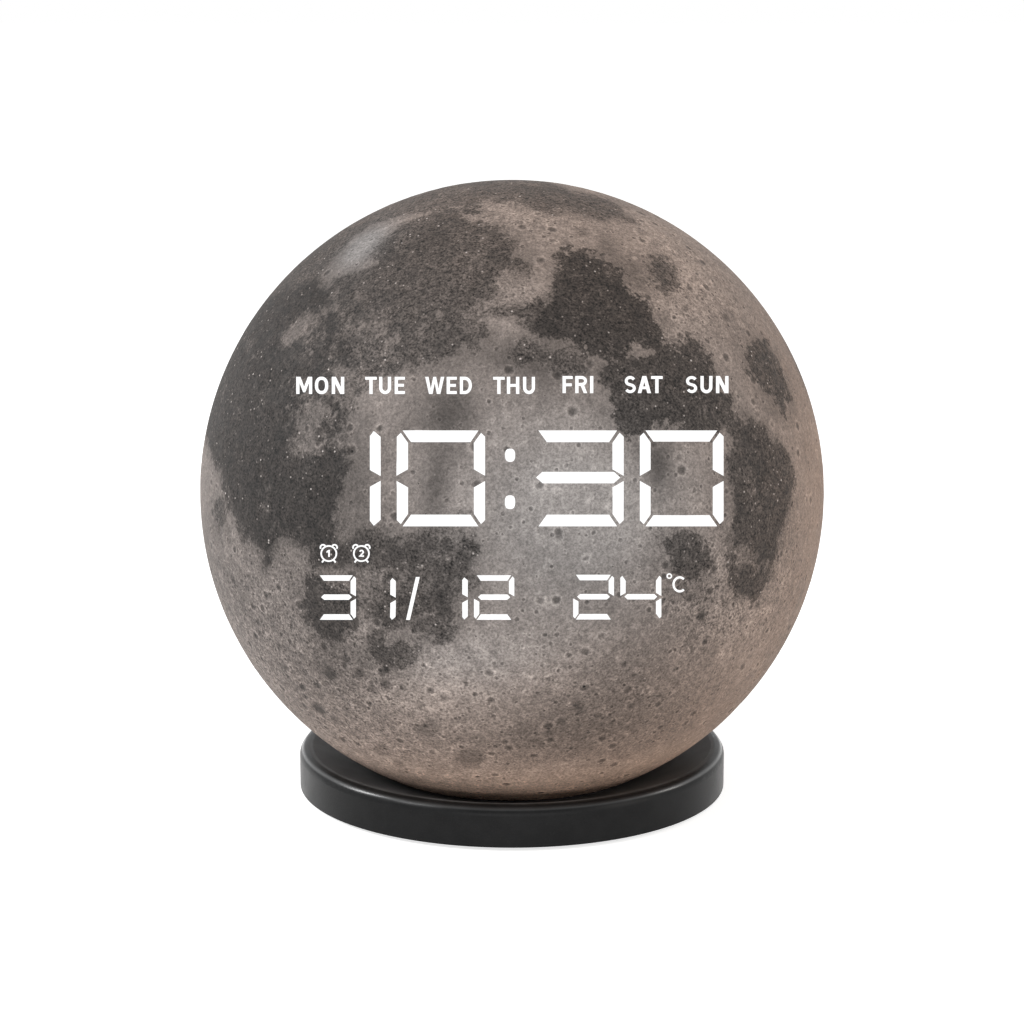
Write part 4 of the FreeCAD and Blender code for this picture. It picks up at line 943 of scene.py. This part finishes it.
# Pocks: painted shade in the floors of small round pits, with a ring of painted light at each rim,
# besides their bumps.
pocks = [
    (302, 687, 3.5, .5), (317, 686, 3.5, .4), (319, 709, 7.5, .42), (279, 646, 3.5, .45),
    (259, 632, 2.4, .5), (233, 580, 3.5, .4), (331, 674, 6, .38), (286, 668, 3, .4),
    (359, 674, 5, .4), (386, 670, 3.5, .5), (386, 685, 5, .35), (444, 697, 3.5, .3),
    (335, 719, 4.5, .3), (466, 683, 1.8, .6), (701, 616, 4, .5), (743, 667, 3, .35),
    (624, 665, 2.4, .45), (633, 675, 2.4, .4), (561, 722, 3.5, .3), (612, 723, 2.6, .35),
    (661, 670, 2.6, .3), (726, 317, 4, .35), (685, 308, 3, .35), (690, 288, 3, .35),
    (651, 256, 3, .35), (381, 750, 9, .24), (428, 729, 9, .26), (471, 759, 12, .24),
    (398, 764, 6, .2), (578, 707, 6, .2), (549, 733, 5, .22), (536, 744, 6, .2),
    (597, 716, 3, .3), (640, 700, 5, .18), (676, 684, 4, .2), (345, 660, 4, .35),
    (324, 647, 3.5, .45), (352, 690, 3, .3), (373, 690, 4, .22), (403, 688, 3, .3),
    (420, 706, 4, .2), (300, 640, 3, .35), (268, 560, 3.5, .3), (249, 576, 3, .3),
    (707, 640, 4, .22), (725, 605, 4, .3), (690, 598, 4, .3), (742, 620, 3.5, .3),
    (758, 605, 3, .3), (664, 612, 3, .2), (515, 700, 3, .2), (490, 730, 4, .16),
    (455, 720, 4, .16), (642, 232, 5, .2), (672, 222, 5, .2), (584, 232, 6, .22),
    (700, 262, 4, .22), (736, 300, 4, .22), (566, 243, 4, .25), (520, 222, 3, .25),
]
chart_right = Vector((1, 0, 0))
chart_up = toward_camera.cross(chart_right)


def on_ball(across, down):
    """The direction from the ball's centre to what the picture shows at that place."""
    ray = ray_through(across, down).normalized()
    reach = ball_centre - eye
    along = reach.dot(ray)
    miss = reach.length_squared - along * along
    return (ray * (along - math.sqrt(max(ball_radius ** 2 - miss, 0))) - reach).normalized()


def chart(rays):
    """Flat places in millimetres for directions, true to area, round the side that faces us."""
    facing = rays @ np.array(toward_camera)
    stretch = ball_radius / MM * np.sqrt(2 / np.maximum(1 + facing, 1e-4))
    return np.stack([rays @ np.array(chart_right), rays @ np.array(chart_up)], 1) * stretch[:, None]


def chart_of(across, down):
    """A flat place for one in the picture. Beside the ball, the chart runs on outward."""
    ray = ray_through(across, down).normalized()
    reach = ball_centre - eye
    miss = math.sqrt(reach.length_squared - reach.dot(ray) ** 2) / ball_radius
    return chart(np.array([on_ball(across, down)]))[0] * max(1, miss) ** 2


def inside_distance(places, outline):
    """How far each place lies inside a closed outline, in millimetres, negative outside."""
    inside = np.zeros(len(places), bool)
    nearest = np.full(len(places), 1e9)
    for start, end in zip(outline, np.roll(outline, -1, axis=0)):
        side = end - start
        share = np.clip((places - start) @ side / (side @ side), 0, 1)
        gap = places - start - share[:, None] * side
        nearest = np.minimum(nearest, np.hypot(gap[:, 0], gap[:, 1]))
        crossed = (start[1] > places[:, 1]) != (end[1] > places[:, 1])
        with np.errstate(divide="ignore", invalid="ignore"):
            meets = start[0] + side[0] * (places[:, 1] - start[1]) / side[1]
        inside ^= crossed & (places[:, 0] < meets)
    return np.where(inside, nearest, -nearest)


def patchwork(spots, patches):
    """The sum of soft patches at each spot."""
    total = np.zeros(len(spots))
    for across, down, half_width, half_height, turn, strength in patches.values():
        turn = math.radians(turn)
        along = Vector((math.cos(turn), math.sin(turn))) * half_width / 2
        athwart = Vector((-math.sin(turn), math.cos(turn))) * half_height / 2
        first = (chart_of(across + along.x, down + along.y)
                 - chart_of(across - along.x, down - along.y))
        second = (chart_of(across + athwart.x, down + athwart.y)
                  - chart_of(across - athwart.x, down - athwart.y))
        shares = (spots - chart_of(across, down)) @ np.linalg.inv(np.array([first, second]))
        total += strength * np.exp(-(shares ** 2).sum(1))
    return total


def paint_moon(shell):
    """Notes at each point of a shell how far it lies from a coast, and its tone and roughness."""
    count = len(shell.data.vertices)
    places = np.empty(count * 3)
    shell.data.vertices.foreach_get("co", places)
    rays = places.reshape(-1, 3) - np.array(ball_centre)
    rays /= np.linalg.norm(rays, axis=1)[:, None]
    spots = chart(rays)
    seas = []
    for darkness, fade, outline in dark_plains.values():
        corners = np.array([chart_of(*point) for point in zip(outline[::2], outline[1::2])])
        seas.append((inside_distance(spots, corners), darkness, fade))
    for turn, climb, width, height in far_plains:
        turn, climb = math.radians(turn), math.radians(climb)
        aim = np.array([math.sin(turn) * math.cos(climb), -math.cos(turn) * math.cos(climb),
                        math.sin(climb)])
        east = np.cross([0, 0, 1], aim)
        east /= np.linalg.norm(east)
        north = np.cross(aim, east)
        offset = np.hypot(rays @ east / width, rays @ north / height) * ball_radius / MM
        distance = np.where(rays @ aim > 0, (1 - offset) * (width + height) / 2, -farthest_shore)
        seas.append((distance, far_darkness, far_fade))
    shore = np.full(count, -float(farthest_shore))
    tone_sum = np.zeros(count)
    fade_sum = np.zeros(count)
    weight_sum = np.full(count, 1e-9)
    for distance, darkness, fade in seas:
        weight = np.exp(np.clip(distance, deepest_outside, farthest_shore) / coast_blend)
        shore = np.maximum(shore, distance)
        tone_sum += weight * darkness
        fade_sum += weight * fade
        weight_sum += weight
    # Each pock: painted shade in a round floor and a ring of painted light round its rim.
    pock = np.zeros(count)
    for across, down, radius, darkness in pocks:
        gap = (spots - chart_of(across, down)) * (focal_pixels * MM / (eye - ball_centre).length)
        share = np.sqrt((gap ** 2).sum(1)) / (radius * 1.3)
        pock += darkness * (1.5 * np.exp(-share ** 4) - 0.5 * np.exp(-((share - 1.4) / 0.25) ** 2))
    facing = rays @ np.array(toward_camera)
    far_side = np.clip(far_side_start - facing, 0, 1)
    warmth = np.clip(patchwork(spots, warm_ground) + plain_warmth, 0, 1)
    notes = {"shore": np.clip(shore, -farthest_shore, farthest_shore), "fade": fade_sum / weight_sum,
             "sea_tone": tone_sum / weight_sum, "veil": patchwork(spots, clouds),
             "mist": patchwork(spots, mists), "pock": pock,
             "rugged": np.clip(plain_ruggedness + patchwork(spots, rough_ground), 0, 1),
             "warmth": warmth * (1 - far_side) + far_warmth * far_side}
    for name, values in notes.items():
        layer = shell.data.attributes.new(name, "FLOAT", "POINT")
        layer.data.foreach_set("value", values.astype(np.float32))


def moon_finish():
    finish, tree, shader, place = new_finish("moon_plastic", Roughness=0.72, Specular_IOR_Level=0.25)

    def noted(name):
        return tree.add("ShaderNodeAttribute", {"attribute_name": name}, output="Fac")

    # The print's own patches, from broad clouds down to grit, and thin crooked ridges.
    broad = tree.grain(place, 13 * MM, 8.0, 0.64)
    middling = tree.grain(place, 3.4 * MM, 6.0, 0.68)
    fine = tree.grain(place, 1.1 * MM, 3.0, 0.7).rise(0.24, 0.76)
    grit = tree.grain(place, 0.44 * MM, 2.0, 0.7).rise(0.30, 0.70)
    stray = tree.add("ShaderNodeTexNoise", None, {"Vector": place, "Scale": 1 / (0.9 * MM)}, "Color")
    bent = tree.vectors("ADD", place, tree.vectors("SCALE", stray, scale=0.45 * MM))
    ridges = tree.add("ShaderNodeTexNoise", {"noise_type": "RIDGED_MULTIFRACTAL"}, {
        "Vector": bent, "Scale": 1 / (2.4 * MM), "Detail": 4.0, "Roughness": 0.62,
        "Gain": 1.4, "Offset": 0.9}).rise(0.2, 2.2)

    def craters(cell, share, largest):
        """Small pits, one to a cell at most: how deep they are and where their rims stand, for their
        bumps and for the painted shade in them and painted light on their rims.
        """
        away = tree.add("ShaderNodeTexVoronoi", None, {"Vector": bent, "Scale": 1 / cell})
        chance = tree.add("ShaderNodeSeparateColor", None, {0: away.same("Color")})
        away = away / chance.same("Green").rise(0, 1, 0.07, largest)
        chosen = (chance + share).rise(1.0, 1.02)
        rim = away.rise(1.9, 1.2) * away.rise(0.85, 1.1)
        return away.rise(1.1, 0.4) * chosen, rim * chosen

    rugged = noted("rugged")
    wide_pits, wide_rims = craters(3.0 * MM, rugged * 0.85 + 0.06, 0.34)
    small_pits, small_rims = craters(1.3 * MM, rugged * 0.9 + 0.05, 0.38)
    depth = wide_pits + small_pits * 0.8
    rims = wide_rims + small_rims

    # The seas: the noted distance to a coast, ragged with patches and broken up by mists.
    coast = noted("shore") + (broad - 0.5) * 20 + (middling - 0.5) * 9 + (fine - 0.5) * 3
    fade = noted("fade")
    sea = coast.rise(fade * -1, fade)
    torn = tree.grain(bent, 5.5 * MM, 8.0, 0.72)
    mist = ((torn - 0.5) * 3.4 + ridges * 0.3 + noted("mist")).rise(0.30, 1.05)
    sea = sea * (1 - mist * 0.66)

    # The tone of land and sea, with fine grain over both and bright specks in clusters.
    bold = (0.30 + 0.65 * rugged) * (1 - sea) + 1.3 * sea
    grain = 1 + ((fine - 0.5) * 0.74 + (grit - 0.5) * 1.1) * bold
    grain = tree.maths("MAXIMUM", grain, 0.05)
    clouded = (0.60 + 0.80 * broad) * (1 + (middling - 0.5) * (0.5 + 0.8 * rugged))
    clouded = clouded * (1 + (ridges - 0.2) * (0.10 + 0.34 * rugged))
    # The noted veil carries the clouds, among them the painted light at the foot.
    land_tone = land_lightness * (1 + noted("veil")) * clouded
    land_tone = land_tone * noted("shore").rise(-5.5, 0.5, 1.0, 0.80)
    # Painted shade darkens the pits' floors and painted light brightens their rims, besides their
    # bumps; the moulded pits are painted the same way.
    land_tone = land_tone * (1 - depth * 0.58) * (1 + rims * 0.30) * (1 + noted("pit") * 0.12)
    sea_tone = noted("sea_tone") * (1 + noted("veil") * 0.7) * (0.36 + 1.28 * broad)
    sea_tone = sea_tone * (0.16 + 1.6 * middling) * (0.88 + 0.5 * ridges)
    specks = tree.add("ShaderNodeTexVoronoi", None, {"Vector": place, "Scale": 1 / (0.8 * MM)})
    chance = tree.add("ShaderNodeSeparateColor", None, {0: specks.same("Color")})
    speck = specks.rise(0.34, 0.12) * chance.rise(0.78, 1.0) * (0.2 + 0.8 * sea)
    speck = speck * middling.rise(0.42, 0.60)
    tone = (land_tone * (1 - sea) + sea_tone * sea) * grain * (1 - noted("pock")) + speck * 0.55
    tint = (noted("warmth") * (1 - speck)).between((1.075, 1.0, 0.965, 1), (1.46, 1.0, 0.75, 1))
    feed(shader, "Base Color", tree.vectors("SCALE", tint, scale=tone))
    relief = middling * 0.5 + fine * 0.4 + grit * 0.16 + ridges * 0.3
    relief = relief - depth + rims * 0.4 - noted("pock") * 0.8
    emboss(shader, relief * (1 - sea * 0.5), 0.26 * MM, 0.7)
    feed(shader, "Roughness", middling.rise(0.3, 0.7, 0.66, 0.80))
    return finish


moon_skin = moon_finish()
pits = pit_tree()
for node, behind in (("front_shell", False), ("rear_shell", True)):
    half = ball_half("moon_" + node, behind)
    run_tree(half, pits, Centre=ball_centre, Finish=moon_skin, Seed=5 + behind)
    half.data.shade_smooth()
    half.data.set_sharp_from_angle(angle=math.radians(50))
    paint_moon(half)
    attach(half, "clock")
    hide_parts(node)


# The lit display: each mark is a window of the light mask shining through the ball's skin. The
# marks are drawn as the photograph shows them, in its own pixels, then laid on the ball, so the
# rows stay straight from the front and follow the curve from the side.
mark_lift = 0.012 * MM
mark_thickness = 0.02 * MM
drawing_distance = 0.45
drawn_columns = (296, 736, 8)
drawn_rows = (376, 624, 8)


def bars_of(left, right, top, bottom, stroke, tip):
    """The seven bars of a digit, each as its corners, with the photograph's bevelled ends."""
    middle = (top + bottom) / 2
    share = stroke / 11.2
    tall = 1.04 * stroke

    def mirrored(bar, across=False, down=False):
        return [(left + right - x if across else x, 2 * middle - y if down else y)
                for x, y in bar]

    cap = [(left + 5.8 * share, top), (right - 6.6 * share, top),
           (right - 14.6 * share, top + tall), (left + 14.2 * share, top + tall)]
    post = [(left, top + 6.2 * share), (left + 4 * share, top + 2.3 * share),
            (left + stroke, top + 12.4 * share), (left + stroke, middle - 9 * share),
            (left, middle - 2.6 * share)]
    waist = [(left + tip, middle - 0.9 * share), (left + tip + 6.2 * share, middle - 6.5 * share),
             (right - tip - 6.2 * share, middle - 6.5 * share), (right - tip, middle - 0.9 * share),
             (right - tip - 6.6 * share, middle + 4.9 * share),
             (left + tip + 6.6 * share, middle + 4.9 * share)]
    return {"top": cap, "upper left": post, "upper right": mirrored(post, across=True),
            "waist": waist, "lower left": mirrored(post, down=True),
            "lower right": mirrored(post, across=True, down=True),
            "bottom": mirrored(cap, down=True)}


lit_bars = {
    "0": ("top", "upper left", "upper right", "lower left", "lower right", "bottom"),
    "2": ("top", "upper right", "waist", "lower left", "bottom"),
    "3": ("top", "upper right", "waist", "lower right", "bottom"),
    "4": ("upper left", "upper right", "waist", "lower right"),
}


def digit(figure, left, right, top, bottom, stroke, tip):
    bars = bars_of(left, right, top, bottom, stroke, tip)
    return [bars[bar] for bar in lit_bars[figure]]


def digit_one(left, right, top, bottom):
    """A one: two bars, slanted away from each other at the middle and pointed at the ends."""
    middle = (top + bottom) / 2
    stroke = right - left
    upper = [(left, top + 0.52 * stroke), (left + 0.36 * stroke, top + 0.05 * stroke),
             (right, top + 0.60 * stroke), (right, middle - 0.22 * stroke),
             (left, middle - 0.78 * stroke)]
    return [upper, [(x, 2 * middle - y) for x, y in upper]]


def oval(centre_x, centre_y, half_width, half_height, squareness=0.75, count=28):
    """A rounded dot, squarer than an ellipse."""
    outline = []
    for step in range(count):
        turn = 2 * math.pi * step / count
        x, y = math.cos(turn), math.sin(turn)
        outline.append((centre_x + half_width * math.copysign(abs(x) ** squareness, x),
                        centre_y + half_height * math.copysign(abs(y) ** squareness, y)))
    return outline


def bow(centre_x, centre_y, half_width, half_height, start, end, count=12):
    """Points along part of an ellipse, in degrees clockwise from the right."""
    turns = [math.radians(start + (end - start) * step / (count - 1)) for step in range(count)]
    return [(centre_x + half_width * math.cos(turn), centre_y + half_height * math.sin(turn))
            for turn in turns]


def placed(faces, left, top):
    return [[(x + left, y + top) for x, y in face] for face in faces]


# The letters are plain block capitals, drawn in pixels from their own top left corner.
tall, stem, bar = 17.1, 3.3, 2.9
half = tall / 2
letters = {
    "A": [[(0, tall), (4.65, 0), (6.65, 0), (6.65, 5.9), (5.42, 10.4), (4.69, 13.1), (3.6, tall)],
          [(13.3, tall), (9.7, tall), (8.61, 13.1), (7.88, 10.4), (6.65, 5.9), (6.65, 0), (8.65, 0)],
          [(5.42, 10.4), (7.88, 10.4), (8.61, 13.1), (4.69, 13.1)]],
    "D": band_along([(stem / 2, tall - bar / 2), (stem / 2, bar / 2)]
                    + bow(5.2, half, 5.4, half - bar / 2, -90, 90), 3.1, closed=True),
    "E": [[(0, 0), (10.2, 0), (10.2, bar), (stem, bar), (stem, half - bar / 2),
           (9.3, half - bar / 2), (9.3, half + bar / 2), (stem, half + bar / 2),
           (stem, tall - bar), (10.2, tall - bar), (10.2, tall), (0, tall)]],
    "F": [[(0, 0), (10.2, 0), (10.2, bar), (stem, bar), (stem, 7.3), (9.2, 7.3), (9.2, 7.3 + bar),
           (stem, 7.3 + bar), (stem, tall), (0, tall)]],
    "H": [[(0, 0), (stem, 0), (stem, half - bar / 2), (9.1, half - bar / 2), (9.1, 0), (12.4, 0),
           (12.4, tall), (9.1, tall), (9.1, half + bar / 2), (stem, half + bar / 2),
           (stem, tall), (0, tall)]],
    "I": [[(0, 0), (stem, 0), (stem, tall), (0, tall)]],
    "M": [[(0, 0), (4.2, 0), (7.95, 9.8), (11.7, 0), (15.9, 0), (15.9, tall), (12.7, tall),
           (12.7, 5.9), (9.05, 15.4), (6.85, 15.4), (3.2, 5.9), (3.2, tall), (0, tall)]],
    "N": [[(0, 0), (4.0, 0), (9.15, 10.4), (9.15, 0), (12.45, 0), (12.45, tall), (8.45, tall),
           (stem, 6.7), (stem, tall), (0, tall)]],
    "O": band_along(oval(6.7, half, 5.1, half - bar / 2, 0.86, 32), 3.15, closed=True),
    "R": [[(0, 0), (stem, 0), (stem, bar), (stem, 6.9), (stem, 6.9 + bar), (stem, tall), (0, tall)],
          [(5.4, 9.6), (8.7, 9.0), (12.0, tall), (8.5, tall)]]
         + band_along([(stem, bar / 2)] + bow(6.3, 4.9, 4.0, 4.9 - bar / 2, -90, 90)
                      + [(stem, 6.9 + bar / 2)], bar),
    "S": band_along(bow(5.65, 4.95, 4.1, 4.95 - bar / 2, -25, -240)
                    + bow(5.65, 12.2, 4.1, 4.9 - bar / 2, -60, 155), bar),
    "T": [[(0, 0), (11.6, 0), (11.6, bar), (7.45, bar), (7.45, tall), (4.15, tall), (4.15, bar),
           (0, bar)]],
    "U": band_along([(stem / 2, 0)] + bow(6.0, 11.0, 4.35, 4.65, 180, 0) + [(12 - stem / 2, 0)],
                    3.2),
    "W": [[(0, 0), (3.4, 0), (5.75, 11.8), (8.1, 0), (11.0, 0), (13.35, 11.8), (15.7, 0), (19.1, 0),
           (15.2, tall), (11.7, tall), (9.55, 6.4), (7.4, tall), (3.9, tall)]],
}
weekdays = (
    (376.9, (("M", 296.4), ("O", 315.0), ("N", 331.9), ("T", 365.3), ("U", 379.2), ("E", 394.8),
             ("W", 425.2), ("E", 446.7), ("D", 459.8), ("T", 493.1), ("H", 506.9), ("U", 523.0))),
    (376.1, (("F", 562.5), ("R", 575.2), ("I", 590.0), ("S", 624.5), ("A", 637.6), ("T", 651.0),
             ("S", 685.8), ("U", 700.3), ("N", 715.9))),
)
alarm_sign = alarm_clock((32, 7.6), 1.6, (7, 2.7, 175, 1.6), (5.7, -6.1), (150, 215),
                         (4.7, 6.2, 6.8, 8.9), 1.7)
little_one = [[(-0.4, 1.7), (1.7, 0), (3.1, 0), (3.1, 7.1), (1.4, 7.1), (1.4, 2.2), (-0.1, 3.2)]]
little_two = band_along(bow(2.5, 2.3, 1.75, 1.6, -165, 20, 8) + [(3.4, 3.9), (0.9, 6.3), (5.0, 6.3)],
                        1.5)
celsius = (band_along(ring_of(24, 2.15, centre=(669.2, 576.0)), 1.35, closed=True)
           + band_along(bow(679.6, 584.3, 6.2, 7.0, -48, -312, 24), 2.2))

big_top, big_bottom, big_stroke, big_tip = 430.5, 526.3, 11.2, 3.4
small_top, small_bottom, small_stroke, small_tip = 575.2, 619.7, 5.3, 4.0
big = (big_top, big_bottom, big_stroke, big_tip)
small = (small_top, small_bottom, small_stroke, small_tip)
marks = (digit_one(370.0, 380.7, big_top, big_bottom)
         + digit("0", 396.9, 485.1, *big)
         + [oval(510.1, 455.3, 5.1, 6.6), oval(510.0, 502.2, 5.2, 6.9)]
         + digit("3", 532.6, 623.6, *big)
         + digit("0", 639.8, 723.4, big_top, big_bottom, 10.7, big_tip)
         + digit("3", 317.2, 356.0, *small)
         + digit_one(390.4, 395.8, small_top + 2.6, small_bottom)
         + [[(415.9, 576.9), (419.8, 576.9), (410.0, 619.8), (406.1, 619.8)]]
         + digit_one(462.3, 467.8, small_top + 1.8, small_bottom)
         + digit("2", 474.0, 514.3, *small)
         + digit("2", 573.1, 613.9, small_top - 0.5, small_bottom - 0.3, small_stroke, small_tip)
         + digit("4", 620.3, 661.2, small_top - 0.5, small_bottom - 0.3, small_stroke, small_tip)
         + placed(alarm_sign, 328.9, 553.5) + placed(alarm_sign, 361.5, 553.5)
         + placed(little_one, 326.9, 549.8) + placed(little_two, 359.1, 549.7) + celsius)
for row_top, row in weekdays:
    for letter, left in row:
        marks += placed(letters[letter], left, row_top)


def laid_tree():
    """Throws a flat drawing onto the ball along the camera's rays and gives it a thickness."""
    start = new_shape("laid_on_ball", Ball="Object", Eye="Vector", Centre="Vector",
                      Radius=ball_radius, Thickness=mark_thickness)
    place = start.add("GeometryNodeInputPosition")
    ball = start.add("GeometryNodeObjectInfo", {"transform_space": "RELATIVE"},
                     {"Object": start.same("Ball")}, "Geometry")
    way = start.vectors("SUBTRACT", place, start.same("Eye"))
    hit = start.add("GeometryNodeRaycast", None, {"Target Geometry": ball, "Source Position": place,
                                                  "Ray Direction": way, "Ray Length": 1.0},
                    "Hit Position")
    ray = start.vectors("NORMALIZE", start.vectors("SUBTRACT", hit, start.same("Centre")))
    seat = start.vectors("ADD", start.vectors("SCALE", ray, scale=start.same("Radius")),
                         start.same("Centre"))
    laid = start.add("GeometryNodeSetPosition", None,
                     {"Geometry": start.same("Mesh"), "Position": seat})
    raised = start.add("GeometryNodeExtrudeMesh", {"mode": "FACES"},
                       {"Mesh": laid, "Offset": ray, "Offset Scale": start.same("Thickness"),
                        "Individual": False})
    return end_shape(start, raised)


def lit_display():
    """Draws the marks flat before the camera, scored into a grid so that they can bend."""
    mesh = bmesh.new()
    for face in marks:
        corners = [mesh.verts.new((x, y, 0)) for x, y in face]
        mesh.faces.new(corners)
    mesh.normal_update()
    bmesh.ops.triangulate(mesh, faces=mesh.faces[:])
    bmesh.ops.remove_doubles(mesh, verts=mesh.verts[:], dist=1e-3)
    for normal, levels in (((1, 0, 0), drawn_columns), ((0, 1, 0), drawn_rows)):
        for level in range(*levels):
            score(mesh, Vector(normal) * level, normal, nearness=1e-4)
    for point in mesh.verts:
        point.co = eye + ray_through(point.co.x, point.co.y) * drawing_distance
    face_toward(mesh, toward_camera)
    return piece_of("lit_display", mesh)


display = lit_display()
lit_white = lit_finish(
    "lit_white", haze=(1.4 * MM, 4.0, 0.6), slope=(0.3, 0.7),
    faces=((0.10, 0.10, 0.10, 1), (0.16, 0.16, 0.16, 1)),
    glows=((0.95, 0.95, 0.95, 1), (1.0, 1.0, 1.0, 1)), Roughness=0.6, Specular_IOR_Level=0.1,
    Emission_Strength=1.0)
run_tree(display, laid_tree(), Ball=bpy.data.objects["moon_front_shell"], Eye=eye,
         Centre=ball_centre, Radius=ball_radius - mark_lift - mark_thickness, Finish=lit_white)
display.data.set_sharp_from_angle(angle=math.radians(40))
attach(display, "clock")
